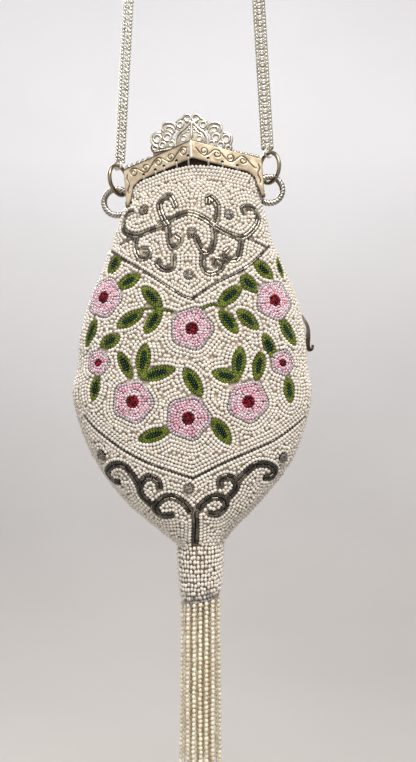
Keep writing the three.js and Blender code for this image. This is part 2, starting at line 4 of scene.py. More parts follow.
import bpy
import numpy as np
from mathutils.kdtree import KDTree
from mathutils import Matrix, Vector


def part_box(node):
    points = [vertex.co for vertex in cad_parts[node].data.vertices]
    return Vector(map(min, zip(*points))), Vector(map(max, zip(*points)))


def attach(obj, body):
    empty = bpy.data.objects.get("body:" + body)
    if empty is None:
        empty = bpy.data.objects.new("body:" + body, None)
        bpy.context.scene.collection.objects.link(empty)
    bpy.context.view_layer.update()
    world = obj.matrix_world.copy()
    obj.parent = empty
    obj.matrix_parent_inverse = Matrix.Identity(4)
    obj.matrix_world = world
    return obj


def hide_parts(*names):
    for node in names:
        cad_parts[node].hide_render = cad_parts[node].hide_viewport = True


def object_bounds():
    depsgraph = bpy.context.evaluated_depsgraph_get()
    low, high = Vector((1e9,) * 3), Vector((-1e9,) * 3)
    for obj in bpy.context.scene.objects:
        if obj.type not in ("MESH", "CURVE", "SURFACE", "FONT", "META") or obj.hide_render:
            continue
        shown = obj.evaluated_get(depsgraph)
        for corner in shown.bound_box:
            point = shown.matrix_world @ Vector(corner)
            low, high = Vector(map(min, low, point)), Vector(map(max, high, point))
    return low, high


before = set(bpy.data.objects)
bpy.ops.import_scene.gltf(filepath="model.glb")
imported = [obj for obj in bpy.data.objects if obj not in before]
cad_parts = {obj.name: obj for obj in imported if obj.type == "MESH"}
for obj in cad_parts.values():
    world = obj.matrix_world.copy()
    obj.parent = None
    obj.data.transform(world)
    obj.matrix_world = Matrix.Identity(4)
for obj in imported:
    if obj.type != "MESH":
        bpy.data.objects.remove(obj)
cad_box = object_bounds()

# The view. The bag hangs by its chain and is seen straight on from about an arm's length, level with
# the middle of the pouch, so the frame is seen a little from below and the tassel from above.
MM = 0.001
PHOTO_WIDTH = 416
PHOTO_HEIGHT = 762
PIXEL = 0.5 * MM  # one pixel of the photograph at the pouch's side seams
VIEW_DISTANCE = 360 * MM
VIEW_RIGHT = 7.75 * MM  # how far right of the bag's middle the camera stands
FRAME_CORNERS = -260 * MM  # height of the frame's corners
VIEW_BELOW_FRAME = 107 * MM
VIEW_HEIGHT = FRAME_CORNERS - VIEW_BELOW_FRAME
SENSOR = 24.0
NEAREST_SEEN = 20 * MM

camera_data = bpy.data.cameras.new("camera")
camera_data.sensor_fit = "VERTICAL"
camera_data.sensor_height = SENSOR
camera_data.lens = SENSOR * VIEW_DISTANCE / (PHOTO_HEIGHT * PIXEL)
camera_data.clip_start = NEAREST_SEEN
camera = bpy.data.objects.new("camera", camera_data)
camera.location = (VIEW_RIGHT, -VIEW_DISTANCE, VIEW_HEIGHT)
camera.rotation_euler = (math.pi / 2, 0, 0)
bpy.context.scene.collection.objects.link(camera)
bpy.context.scene.camera = camera


# The studio. A pale round floor that curves up into a lighter wall all round, so every side has the same
# plain background; the floor is painted darker than the wall, as painted shade for the dimmer light low
# down. A large soft light stands above the front, a weak one to the left of it and one behind, and two
# shine on the walls before and behind the bag; an even daylight fills the rest.
def new_finish(name):
    material = bpy.data.materials.new(name)
    material.use_nodes = True
    tree = material.node_tree
    return material, tree, tree.nodes["Principled BSDF"]


MOTTLE_ENDS = (0.3, 0.7)  # of the noise, where the dark tone ends and the light one begins


def mottle(tree, dark, light, scale, detail=3.0):
    """Colour that drifts between two tones over the surface, and the drift itself."""
    place = tree.nodes.new("ShaderNodeTexCoord")
    noise = tree.nodes.new("ShaderNodeTexNoise")
    noise.inputs["Scale"].default_value = scale
    noise.inputs["Detail"].default_value = detail
    ramp = tree.nodes.new("ShaderNodeValToRGB")
    for end, position, tone in zip(ramp.color_ramp.elements, MOTTLE_ENDS, (dark, light)):
        end.position = position
        end.color = (*tone, 1)
    tree.links.new(place.outputs["Object"], noise.inputs["Vector"])
    tree.links.new(noise.outputs["Fac"], ramp.inputs["Fac"])
    return ramp.outputs["Color"], noise.outputs["Fac"]


def mix_by_height(tree, lower, upper, low, high):
    """A lower colour that gives way to an upper one between two heights."""
    place = tree.nodes.new("ShaderNodeTexCoord")
    height = tree.nodes.new("ShaderNodeSeparateXYZ")
    share = tree.nodes.new("ShaderNodeMapRange")
    share.inputs["From Min"].default_value = low
    share.inputs["From Max"].default_value = high
    mix = tree.nodes.new("ShaderNodeMix")
    mix.data_type = "RGBA"
    tree.links.new(place.outputs["Object"], height.inputs["Vector"])
    tree.links.new(height.outputs["Z"], share.inputs["Value"])
    tree.links.new(share.outputs["Result"], mix.inputs["Factor"])
    tree.links.new(lower, mix.inputs["A"])
    tree.links.new(upper, mix.inputs["B"])
    return mix.outputs["Result"]


def new_piece(name, mesh, material):
    piece = bpy.data.objects.new(name, mesh)
    bpy.context.scene.collection.objects.link(piece)
    mesh.materials.append(material)
    return piece


def smooth_mesh(name, corners, faces):
    mesh = bpy.data.meshes.new(name)
    mesh.from_pydata(np.asarray(corners).tolist(), [], [list(map(int, face)) for face in faces])
    mesh.polygons.foreach_set("use_smooth", np.ones(len(faces), dtype=bool))
    return mesh


def grid_faces(rows, columns, wrap=False, closed=False):
    """Four-cornered faces of a grid, joined round across it (wrap) or end to end (closed)."""
    index = np.arange(rows * columns).reshape(rows, columns)
    if wrap:
        index = np.hstack([index, index[:, :1]])
    if closed:
        index = np.vstack([index, index[:1]])
    corners = [index[:-1, :-1], index[1:, :-1], index[1:, 1:], index[:-1, 1:]]
    return np.stack([c.ravel() for c in corners], axis=1)


def grid_mesh(name, points, wrap=False):
    rows, columns = points.shape[:2]
    return smooth_mesh(name, points.reshape(-1, 3), grid_faces(rows, columns, wrap))


FLOOR_DROP = 0.5  # below the fringe
FLOOR_RADIUS = 1.3
COVE_RADIUS = 1.7
WALL_HEIGHT = 2.8
COVE_STEPS = 24
STUDIO_SIDES = 72
FLOOR_MIDDLE = 0.001  # radius of the innermost ring
PAINT_DRIFT = 1.4
floor_height = cad_box[0][2] - FLOOR_DROP
studio_finish, tree, shader = new_finish("studio_paint")
# The floor's paint is darker than the wall's: painted shade for the dimmer light low down.
shaded_floor_paint, _ = mottle(tree, dark=(0.51, 0.485, 0.46), light=(0.55, 0.525, 0.50), scale=PAINT_DRIFT)
wall_paint, _ = mottle(tree, dark=(0.83, 0.82, 0.83), light=(0.87, 0.86, 0.87), scale=PAINT_DRIFT)
paint = mix_by_height(tree, shaded_floor_paint, wall_paint, floor_height, floor_height + COVE_RADIUS)
tree.links.new(paint, shader.inputs["Base Color"])
shader.inputs["Roughness"].default_value = 0.9
cove = [(FLOOR_RADIUS + COVE_RADIUS * math.sin(t), COVE_RADIUS * (1 - math.cos(t)))
        for t in np.linspace(0, math.pi / 2, COVE_STEPS)]
profile = [(FLOOR_MIDDLE, 0.0), (FLOOR_RADIUS / 2, 0.0), *cove, (FLOOR_RADIUS + COVE_RADIUS, WALL_HEIGHT)]
turns = np.linspace(0, 2 * math.pi, STUDIO_SIDES, endpoint=False)
studio_points = np.array([[(r * math.cos(t), r * math.sin(t), floor_height + h) for t in turns]
                          for r, h in profile])
studio = new_piece("studio_floor", grid_mesh("studio_floor", studio_points, wrap=True), studio_finish)


def soft_light(name, place, target, size, power, tint):
    data = bpy.data.lights.new(name, "AREA")
    data.size = size
    data.energy = power
    data.color = tint
    light = bpy.data.objects.new(name, data)
    light.location = place
    aim = np.array(target) - np.array(place)
    light.rotation_euler = (math.atan2(math.hypot(aim[0], aim[1]), -aim[2]), 0, math.atan2(-aim[0], aim[1]))
    bpy.context.scene.collection.objects.link(light)


FRAME_MIDDLE = (0.0, 0.0, FRAME_CORNERS)
BACKDROP_MIDDLE, NEAR_WALL_MIDDLE = (0.0, 2.8, 0.5), (0.0, -2.8, 0.5)
LIGHTS = [
    # name, place, what it points at, size, power and tint
    ("window_light", (0.24, -0.74, 0.69), FRAME_MIDDLE, 0.6, 19.0, (1.0, 0.97, 0.94)),
    ("fill_light", (-0.9, -0.9, 0.1), FRAME_MIDDLE, 0.8, 2.4, (0.97, 0.98, 1.0)),
    ("back_light", (-0.6, 1.1, 0.5), FRAME_MIDDLE, 0.8, 14.0, (1.0, 0.99, 0.97)),
    ("backdrop_light", (0.0, 0.7, 1.2), BACKDROP_MIDDLE, 1.2, 34.0, (0.99, 0.99, 1.0)),
    ("near_wall_light", (0.0, -0.7, 1.2), NEAR_WALL_MIDDLE, 1.2, 11.0, (0.99, 0.99, 1.0)),
]
for light in LIGHTS:
    soft_light(*light)
DAYLIGHT, DAYLIGHT_STRENGTH = (0.95, 0.96, 1.0), 0.24
world = bpy.data.worlds.new("daylight")
world.use_nodes = True
background = world.node_tree.nodes["Background"]
background.inputs["Color"].default_value = (*DAYLIGHT, 1)
background.inputs["Strength"].default_value = DAYLIGHT_STRENGTH
bpy.context.scene.world = world
bpy.context.scene.view_settings.view_transform = "Standard"

# The pouch's cloth. Two pear-shaped panels of closely woven cotton, cut to the same outline, sewn
# together down the sides and tucked up behind the bands of the metal frame.
POUCH = [
    # drop below the frame's corners, half width, half depth, shift, gap at the edges, squareness
    (-4, 32.2, 9.2, 0.5, 4.8, 0.8),
    (9, 32.2, 9.8, 1.2, 4.8, 0.8),
    (15, 32.2, 11.2, 1.7, 4.8, 0.8),
    (18.5, 33.9, 12, 0.8, 4.2, 0.8),
    (22, 34.9, 12.8, 0.7, 3, 0.82),
    (27, 35.7, 13.8, 0.5, 1.6, 0.86),
    (32, 37.1, 14.7, 0.1, 0.3, 0.9),
    (38, 38.6, 15.6, 0.1, 0.3, 0.95),
    (52, 44, 17.4, 0.8, 0.3, 1),
    (68, 50.5, 19.3, 0.6, 0.3, 1),
    (85, 54.6, 20.6, 0.2, 0.3, 1),
    (100, 55.6, 21.2, 0.2, 0.3, 1),
    (111, 58, 21.6, 0, 0.3, 1),
    (126, 55.4, 21, 0, 0.3, 1),
    (146, 47.5, 19, 0.5, 0.3, 1),
    (166, 32.4, 15.6, 0.4, 0.3, 1),
    (179, 18.4, 11.6, 1.6, 0.3, 1),
    (187, 10, 9.6, 3.8, 0.3, 1),
]
POUCH = np.array(POUCH) * (MM, MM, MM, MM, MM, 1)
POUCH_TOP = POUCH[0, 0]
POUCH_BOTTOM = POUCH[-1, 0]
ARCH_RISE = 10 * MM  # the top edge drops this much from the middle to the sides
ARCH_FADE = 45 * MM  # the sections are level from here down
ARCH_POWER = 1.6
CLOTH_ROWS = 110
CLOTH_COLUMNS = 48
CLOTH_THICKNESS = 1.2 * MM
FRONT, BACK = -1, 1


def pouch_section(drop):
    """Half width, half depth, shift, edge gap and squareness at one height, smooth through the table."""
    i = int(np.clip(np.searchsorted(POUCH[:, 0], drop) - 1, 0, len(POUCH) - 2))
    before, start, end, after = (POUCH[min(max(i + k, 0), len(POUCH) - 1)] for k in (-1, 0, 1, 2))
    span = end[0] - start[0]
    t = (drop - start[0]) / span
    leave = (end - before) / (end[0] - before[0]) * span
    arrive = (after - start) / (after[0] - start[0]) * span
    row = ((2 * t**3 - 3 * t**2 + 1) * start + (t**3 - 2 * t**2 + t) * leave
           + (3 * t**2 - 2 * t**3) * end + (t**3 - t**2) * arrive)
    straight = start + (end - start) * t
    return row[1], row[2], row[3], straight[4], straight[5]


def pouch_grid(side, rows, columns):
    """Points of one panel's outer face: rows go down, columns from the left edge to the right."""
    points = np.empty((rows + 1, columns + 1, 3))
    for r, drop in enumerate(np.linspace(POUCH_TOP, POUCH_BOTTOM, rows + 1)):
        width, depth, shift, gap, power = pouch_section(drop)
        edge = math.asin((gap / 2 / depth) ** (1 / power))
        angle = np.linspace(math.pi - edge, edge, columns + 1)
        sideways = np.sign(np.cos(angle)) * np.abs(np.cos(angle)) ** power
        arch = ARCH_RISE * max(0.0, 1 - (drop - POUCH_TOP) / (ARCH_FADE - POUCH_TOP))
        points[r, :, 0] = shift + width * sideways
        points[r, :, 1] = side * depth * np.sin(angle) ** power
        points[r, :, 2] = FRAME_CORNERS - drop - arch * np.abs(sideways) ** ARCH_POWER
    return points


def steps_along(points):
    """The distance from each point of a line to the next."""
    return np.linalg.norm(np.diff(points, axis=0), axis=1)


def tinted(tree, colour, attribute, tone):
    """A colour that gives way to a tone where the mesh's own attribute says so."""
    own = tree.nodes.new("ShaderNodeAttribute")
    own.attribute_name = attribute
    mix = tree.nodes.new("ShaderNodeMix")
    mix.data_type = "RGBA"
    mix.inputs["B"].default_value = (*tone, 1)
    tree.links.new(own.outputs["Fac"], mix.inputs["Factor"])
    tree.links.new(colour, mix.inputs["A"])
    return mix.outputs["Result"]


def add_bump(tree, shader, height, strength, distance):
    bump = tree.nodes.new("ShaderNodeBump")
    bump.inputs["Strength"].default_value = strength
    bump.inputs["Distance"].default_value = distance
    tree.links.new(height, bump.inputs["Height"])
    tree.links.new(bump.outputs["Normal"], shader.inputs["Normal"])


def recolour(material, change):
    """Changes the colour that a finish already has."""
    tree = material.node_tree
    base = tree.nodes["Principled BSDF"].inputs["Base Color"]
    tree.links.new(change(tree, base.links[0].from_socket), base)


def cotton(name, dark, light, scale, roughness, relief, depth):
    """Woven or twisted cotton, uneven in colour, with its grain in relief."""
    material, tree, shader = new_finish(name)
    colour, grain = mottle(tree, dark, light, scale)
    tree.links.new(colour, shader.inputs["Base Color"])
    shader.inputs["Roughness"].default_value = roughness
    add_bump(tree, shader, grain, relief, depth)
    return material


def share_on(mesh, name, values):
    """A share from 0 to 1 for each corner of a mesh, which its finish reads by name."""
    share = mesh.attributes.new(name, "FLOAT", "POINT")
    share.data.foreach_set("value", np.asarray(values, dtype=np.float32).ravel())


def bag_piece(name, mesh, material, stands_for=None):
    """A piece of the bag, which rides on its one body and may stand for a solid."""
    piece = new_piece(name, mesh, material)
    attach(piece, "root")
    if stands_for:
        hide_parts(stands_for)
    return piece


UNDER_BAND_SHADE_ROWS = 4  # of the cloth's grid, at the top, painted dark as painted shade under the frame's band
UNDER_BAND_SHADE = (0.075, 0.052, 0.036)
CLOTH_SHEEN = 0.2
cloth_finish = cotton("pouch_cotton", dark=(0.68, 0.58, 0.45), light=(0.84, 0.74, 0.60), scale=900.0,
                      roughness=0.85, relief=0.5, depth=0.3 * MM)
cloth_finish.node_tree.nodes["Principled BSDF"].inputs["Sheen Weight"].default_value = CLOTH_SHEEN
# The top rows of the cloth are painted dark: painted shade where the frame's band hangs over them.
recolour(cloth_finish, lambda tree, colour: tinted(tree, colour, "under_band_shade", UNDER_BAND_SHADE))

for side, node in ((FRONT, "front_panel"), (BACK, "back_panel")):
    points = pouch_grid(side, CLOTH_ROWS, CLOTH_COLUMNS)
    if side == BACK:
        points = points[:, ::-1]
    cloth = bag_piece(f"{node}_cloth", grid_mesh(f"{node}_cloth", points), cloth_finish,
                      stands_for=node)
    share_on(cloth.data, "under_band_shade", np.repeat(np.arange(CLOTH_ROWS + 1) <= UNDER_BAND_SHADE_ROWS, CLOTH_COLUMNS + 1))
    solidify = cloth.modifiers.new("thickness", "SOLIDIFY")
    solidify.thickness = CLOTH_THICKNESS
    solidify.offset = -1.0


# The flowers. Eight flat blossoms worked in small glass beads sewn in rings from the middle outwards:
# a dark red eye, petals in two pinks, and one row of clear lilac beads round the scalloped edge.
class Panel:
    """One panel's outer face as a fine grid that beads are sewn to, by row and column."""

    ROWS = 200
    COLUMNS = 150
    EDGE = 0.001  # how near the last row and column a place may be
    TRIES = 3  # at the place under a pixel
    EDGE_ON = 0.02  # below this the cloth is seen from its edge

    def __init__(self, side):
        self.points = pouch_grid(side, self.ROWS, self.COLUMNS)
        self.down, self.right = np.gradient(self.points, axis=(0, 1))
        out = np.cross(self.down, self.right) * -side
        self.out = out / np.linalg.norm(out, axis=2, keepdims=True)
        scale = VIEW_DISTANCE / (VIEW_DISTANCE + self.points[..., 1]) / PIXEL
        across = PHOTO_WIDTH / 2 + (self.points[..., 0] - VIEW_RIGHT) * scale
        below = PHOTO_HEIGHT / 2 - (self.points[..., 2] - VIEW_HEIGHT) * scale
        self.photo = np.stack([across, below], axis=2)
        self.photo_down, self.photo_right = np.gradient(self.photo, axis=(0, 1))

    def at(self, field, row, column):
        row = min(max(row, 0.0), self.ROWS - self.EDGE)
        column = min(max(column, 0.0), self.COLUMNS - self.EDGE)
        i, j = int(row), int(column)
        f, g = row - i, column - j
        upper = field[i, j] * (1 - g) + field[i, j + 1] * g
        lower = field[i + 1, j] * (1 - g) + field[i + 1, j + 1] * g
        return upper * (1 - f) + lower * f

    def inside(self, row, column):
        return 0 <= row <= self.ROWS and 0 <= column <= self.COLUMNS

    def walk(self, row, column, move):
        """The row and column reached by a short move along the surface."""
        down = self.at(self.down, row, column)
        right = self.at(self.right, row, column)
        dd, dr, rr = down @ down, down @ right, right @ right
        md, mr = down @ move, right @ move
        det = dd * rr - dr * dr
        return row + (md * rr - mr * dr) / det, column + (mr * dd - md * dr) / det

    def under_photo(self, photo_x, photo_y):
        """The row and column that shows at a pixel of the photograph."""
        wanted = np.array([photo_x, photo_y])
        away = np.abs(self.photo - wanted).sum(axis=2)
        row, column = np.unravel_index(np.argmin(away), away.shape)
        for _ in range(self.TRIES):
            miss = wanted - self.at(self.photo, row, column)
            down = self.at(self.photo_down, row, column)
            right = self.at(self.photo_right, row, column)
            det = down[0] * right[1] - down[1] * right[0]
            if abs(det) < self.EDGE_ON:
                break
            row = min(max(row + (miss[0] * right[1] - miss[1] * right[0]) / det, 0), self.ROWS)
            column = min(max(column + (down[0] * miss[1] - down[1] * miss[0]) / det, 0), self.COLUMNS)
        return row, column


SEED = 7
front = Panel(FRONT)
dice = random.Random(SEED)


def unit(way):
    return way / np.linalg.norm(way)


def uneven(spread):
    """A small shift by chance in all three directions."""
    return np.array([dice.gauss(0, spread) for _ in range(3)])


class BeadRow:
    """Beads sewn to the cloth: the middle of each, the thread's direction, the way out and the size."""

    def __init__(self):
        self.middles, self.alongs, self.outs = [], [], []
        self.widths, self.lengths, self.colours = [], [], []

    def sew(self, middle, along, out, width, length, colour):
        self.middles.append(middle)
        self.alongs.append(unit(along - out * (along @ out)))
        self.outs.append(out)
        self.widths.append(width)
        self.lengths.append(length)
        self.colours.append((*colour, 1.0))


def even_steps(points, pitch):
    """Points an even step apart along a line, with the line's direction at each."""
    travel = np.concatenate([[0.0], np.cumsum(steps_along(points))])
    count = max(1, int(round(travel[-1] / pitch)))
    stops = (np.arange(count) + 0.5) * travel[-1] / count
    place_at = lambda s: np.stack([np.interp(s, travel, points[:, k]) for k in range(3)], axis=1)
    return place_at(stops), place_at(stops + pitch / 4) - place_at(stops - pitch / 4)


def colour_on(mesh, colours):
    """A colour for each corner of a mesh, which the glass reads by name."""
    tint = mesh.color_attributes.new("bead_colour", "FLOAT_COLOR", "POINT")
    tint.data.foreach_set("color", np.array(colours).ravel())


def copies_mesh(name, shape, faces, middles, axes, colours=None):
    """Many copies of one small shape as a mesh. Each copy has its own middle and three scaled axes."""
    corners = middles[:, None] + np.einsum("nk,ckx->cnx", shape, axes)
    loops = np.concatenate([np.asarray(face) for face in faces])
    sizes = np.array([len(face) for face in faces])
    count = len(middles)
    every_loop = (loops[None] + len(shape) * np.arange(count)[:, None]).ravel()
    starts = np.concatenate([[0], np.cumsum(np.tile(sizes, count))[:-1]])
    mesh = bpy.data.meshes.new(name)
    mesh.vertices.add(count * len(shape))
    mesh.vertices.foreach_set("co", corners.astype(np.float32).ravel())
    mesh.loops.add(len(every_loop))
    mesh.loops.foreach_set("vertex_index", every_loop.astype(np.int32))
    mesh.polygons.add(len(starts))
    mesh.polygons.foreach_set("loop_start", starts.astype(np.int32))
    mesh.polygons.foreach_set("use_smooth", np.ones(len(starts), dtype=bool))
    mesh.update(calc_edges=True)
    if colours is not None:
        colour_on(mesh, np.repeat(np.array(colours), len(shape), axis=0))
    return mesh


ROUND_BEAD = ((-0.5, 0.52), (0.0, 1.0), (0.5, 0.52))  # places along a bead, and the share of its radius there


def bead_mesh(name, beads, sides=8, hoops=ROUND_BEAD):
    turn = 2 * math.pi * np.arange(sides) / sides
    shape = np.array([(x, r * math.cos(t) / 2, r * math.sin(t) / 2) for x, r in hoops for t in turn])
    faces = [face[::-1] for face in grid_faces(len(hoops), sides, wrap=True)]
    last = (len(hoops) - 1) * sides
    faces += [np.arange(sides)[::-1], last + np.arange(sides)]
    alongs, outs = np.array(beads.alongs), np.array(beads.outs)
    widths, lengths = np.array(beads.widths)[:, None], np.array(beads.lengths)[:, None]
    axes = np.stack([alongs * lengths, np.cross(outs, alongs) * widths, outs * widths], axis=1)
    return copies_mesh(name, shape, faces, np.array(beads.middles), axes, beads.colours)


GLASS_SHADE, GLASS_CLEAR, GLASS_GRAIN = (0.86, 0.83, 0.78), (1.0, 1.0, 1.0), 420.0
COAT_ROUGHNESS = 0.08


def bead_finish(name, roughness, coat, clear=0.0, metallic=0.0, gloss=0.5):
    """Glass in each bead's own colour, uneven from place to place."""
    material, tree, shader = new_finish(name)
    own = tree.nodes.new("ShaderNodeAttribute")
    own.attribute_name = "bead_colour"
    shade, _ = mottle(tree, GLASS_SHADE, GLASS_CLEAR, GLASS_GRAIN)
    mix = tree.nodes.new("ShaderNodeMix")
    mix.data_type = "RGBA"
    mix.blend_type = "MULTIPLY"
    mix.inputs["Factor"].default_value = 1.0
    tree.links.new(own.outputs["Color"], mix.inputs["A"])
    tree.links.new(shade, mix.inputs["B"])
    tree.links.new(mix.outputs["Result"], shader.inputs["Base Color"])
    sockets = {"Roughness": roughness, "Specular IOR Level": gloss, "Coat Weight": coat,
               "Coat Roughness": COAT_ROUGHNESS, "Transmission Weight": clear, "Metallic": metallic}
    for socket, value in sockets.items():
        shader.inputs[socket].default_value = value
    return material


def sewn_piece(name, beads, material, slot_name, stands_for=None, **shape):
    bag_piece(name, bead_mesh(name, beads, **shape), material, stands_for)


def lively(colour, spread):
    shift = dice.uniform(-spread, spread)
    return tuple(min(max(c * (1 + shift), 0.0), 1.0) for c in colour)


FLOWERS = [
    # across and down the photograph, radius in millimetres, turn of the petals in degrees
    (105, 298.2, 9.9, 10),
    (273.8, 301, 9.5, 40),
    (191.7, 329, 10.0, 0),
    (99.6, 363, 6.4, 25),
    (281.6, 363, 6.4, 5),
    (133, 401.5, 10.0, 30),
    (188.3, 418, 10.4, 15),
    (247.7, 401.5, 9.9, 50),
]
PETALS = 5
PETAL_WAVE = 0.07  # how far the edge goes in and out, as a share of the radius
PETAL_BEAD = 1.95 * MM
PETAL_PITCH = 1.38 * MM
EYE_RINGS = (0.0, 1.15 * MM, 2.3 * MM)
EYE_SMALL = 7.5 * MM  # smaller flowers than this have one ring less in the eye
EYE_REDS = ((0.07, 0.001, 0.005), (0.11, 0.0015, 0.007), (0.27, 0.003, 0.016))
PETAL_PINK = (0.92, 0.52, 0.64)
PETAL_PALE = (0.95, 0.76, 0.83)
RIM_LILAC = (0.63, 0.55, 0.59)
PALE_SHARE = 0.45
PETAL_JITTER = 0.12 * MM  # how far a bead sits off its ring
PETAL_LEAN = 0.3
PETAL_SIZES = (0.92, 1.1)
PACE = 1.5 * MM  # the longest step on the way out from a flower's middle

motif_marks = []  # points that the ground beads keep clear of, with the room that each needs
flower_beads, eye_beads = BeadRow(), BeadRow()


def ring_on_cloth(panel, row, column, radius_at, steps=72):
    """A closed line round a place on the cloth, walked outwards so that it follows the surface."""
    line = []
    for turn in np.linspace(0, 2 * math.pi, steps + 1):
        r, c = row, column
        reach = radius_at(turn)
        paces = max(1, int(math.ceil(reach / PACE)))
        for _ in range(paces):
            right = unit(panel.at(panel.right, r, c))
            down = panel.at(panel.down, r, c)
            down = unit(down - right * (down @ right))
            r, c = panel.walk(r, c, (right * math.cos(turn) + down * math.sin(turn)) * reach / paces)
        line.append((r, c))
    return line


def lifted(panel, line, height):
    return np.array([panel.at(panel.points, r, c) + panel.at(panel.out, r, c) * height for r, c in line])


def nearest_on(line, points, place):
    """The row and column of the line's point that is nearest to a place."""
    return line[int(np.argmin(((points - place) ** 2).sum(axis=1)))]


for photo_x, photo_y, radius, turn_deg in FLOWERS:
    row, column = front.under_photo(photo_x, photo_y)
    edge = radius * MM - PETAL_BEAD / 2
    eye = EYE_RINGS if radius * MM > EYE_SMALL else EYE_RINGS[:-1]
    petal_rings = int(round((edge - eye[-1]) / PETAL_PITCH))
    petals = [eye[-1] + (edge - eye[-1]) * (k + 1) / petal_rings for k in range(petal_rings)]
    for reach in (*eye, *petals):
        wave = PETAL_WAVE * reach / edge
        line = ring_on_cloth(front, row, column, lambda t: reach
                             * (1 + wave * math.cos(PETALS * t - math.radians(turn_deg))))
        points = lifted(front, line, PETAL_BEAD / 2)
        places, ways = even_steps(points, PETAL_PITCH)
        if reach == 0:
            places, ways = points[:1], front.at(front.right, row, column)[None]
        for place, way in zip(places, ways):
            r, c = nearest_on(line, points, place)
            out = front.at(front.out, r, c)
            if reach in eye:
                colour = lively(dice.choice(EYE_REDS), spread=0.2)
            elif reach == petals[-1]:
                colour = lively(RIM_LILAC, spread=0.15)
            else:
                colour = lively(PETAL_PALE if dice.random() < PALE_SHARE else PETAL_PINK, spread=0.14)
            place = place + uneven(PETAL_JITTER)
            way = unit(way) + uneven(PETAL_LEAN)
            beads = eye_beads if reach in eye else flower_beads
            beads.sew(place, way, out, PETAL_BEAD * dice.uniform(*PETAL_SIZES), PETAL_PITCH, colour)
            motif_marks.append((place - out * PETAL_BEAD / 2, PETAL_BEAD / 2))
    motif_marks += [(p, PETAL_BEAD / 2) for p in lifted(front, line, 0)]

blossom_glass = bead_finish("blossom_glass", roughness=0.12, coat=1.0, clear=0.1)
sewn_piece("flower_beads", flower_beads, blossom_glass, "beaded_cloth")
eye_glass = bead_finish("eye_glass", roughness=0.4, coat=0.0, gloss=0.25)
sewn_piece("flower_eye_beads", eye_beads, eye_glass, "beaded_cloth")

# The leaves and stems. Pointed leaves of small glass beads sewn in rows along the leaf: dark green in
# the heart and bright lime round the edge. Two short lime stems lead to the flower in the middle.
LEAVES = [
    # the two ends, across and down the photograph, and the width in millimetres
    (119, 256.5, 111, 274, 7.6),
    (119.5, 287.5, 140, 276, 6.6),
    (143.5, 288, 161, 307, 6.2),
    (118.5, 327, 143, 312, 6.4),
    (146, 333, 161, 309, 6.4),
    (219, 305, 241, 287, 6.4),
    (220, 310, 236.5, 333, 6.2),
    (238, 311, 257, 329, 6.2),
    (241, 276, 256, 292, 6.5),
    (255, 263, 271, 278, 6.9),
    (276, 260, 281, 278, 4.6),
    (97, 320, 88, 346, 5.8),
    (102, 346, 120, 337, 6.4),
    (280, 320, 294, 345, 6.0),
    (263, 335, 274, 358, 5.4),
    (120, 353, 131.5, 378, 5.4),
    (146, 345, 141, 376, 6.6),
    (141, 378, 174.5, 369, 6.4),
    (185, 369, 201, 395.5, 6.8),
    (213, 373, 239, 379, 6.4),
    (240, 348, 237, 378, 6.4),
    (260.6, 352.5, 256, 380, 6.0),
    (98, 377, 94, 400, 5.4),
    (287, 378, 289.5, 402, 5.8),
    (140, 439.5, 169, 430, 6.2),
    (213, 419, 229.6, 443, 6.6),
]
STEMS = [
    # points across and down the photograph
    [(140, 311), (152, 308), (173, 312)],
    [(201, 309), (213, 305), (225, 307)],
]
LEAF_BEAD = 1.4 * MM
LEAF_PITCH = 1.35 * MM
LEAF_ROW = 1.15 * MM
LEAF_LIME = (0.15, 0.19, 0.008)
LEAF_OLIVE = (0.07, 0.11, 0.006)
LEAF_HEART = (0.003, 0.020, 0.004)
LEAF_EMERALD = (0.005, 0.038, 0.010)
HEART_LENGTH, HEART_WIDTH = 0.58, 0.64  # share of the leaf's length and width that is dark in the middle
LEAF_FULLNESS = 1.08
BELLY_POWER = 0.9  # below 1 the leaf stays wide towards its ends
EDGE_SPREAD, HEART_SPREAD = 0.3, 0.4
SEWN_SIZES, SEWN_LENGTH = (0.95, 1.05), 0.98
leaf_beads = BeadRow()


def curve(a, b, c, d, t):
    """A place from b to c on a smooth curve that comes from a and goes on to d."""
    return 0.5 * (2 * b + (c - a) * t + (2 * a - 5 * b + 4 * c - d) * t**2 + (3 * b - a - 3 * c + d) * t**3)


def line_on_cloth(panel, photo_points, steps=14):
    """A smooth line through pixels of the photograph, as rows and columns of the cloth."""
    knots = np.array([photo_points[0], *photo_points, photo_points[-1]], dtype=float)
    line = []
    for k in range(len(photo_points) - 1):
        for t in np.linspace(0, 1, steps, endpoint=k == len(photo_points) - 2):
            line.append(curve(*knots[k:k + 4], t))
    return [panel.under_photo(*p) for p in line]


def beside(panel, line, offsets):
    """The same line moved sideways along the cloth, by a distance for each of its points."""
    points = lifted(panel, line, 0)
    ways = np.gradient(points, axis=0)
    moved = []
    for (r, c), way, offset in zip(line, ways, offsets):
        side = np.cross(panel.at(panel.out, r, c), way)
        length = np.linalg.norm(side)
        moved.append(panel.walk(r, c, side / length * offset) if length > 0 else (r, c))
    return moved


def sew_line(panel, beads, line, width, pitch, tones, spread=0.15):
    """One row of beads along a line, each in one of the tones."""
    points = lifted(panel, line, width / 2)
    places, ways = even_steps(points, pitch)
    for place, way in zip(places, ways):
        r, c = nearest_on(line, points, place)
        out = panel.at(panel.out, r, c)
        tone = lively(dice.choice(tones), spread)
        beads.sew(place, way, out, width * dice.uniform(*SEWN_SIZES), pitch * SEWN_LENGTH, tone)
    motif_marks.extend((p, width / 2) for p in lifted(panel, line, 0))


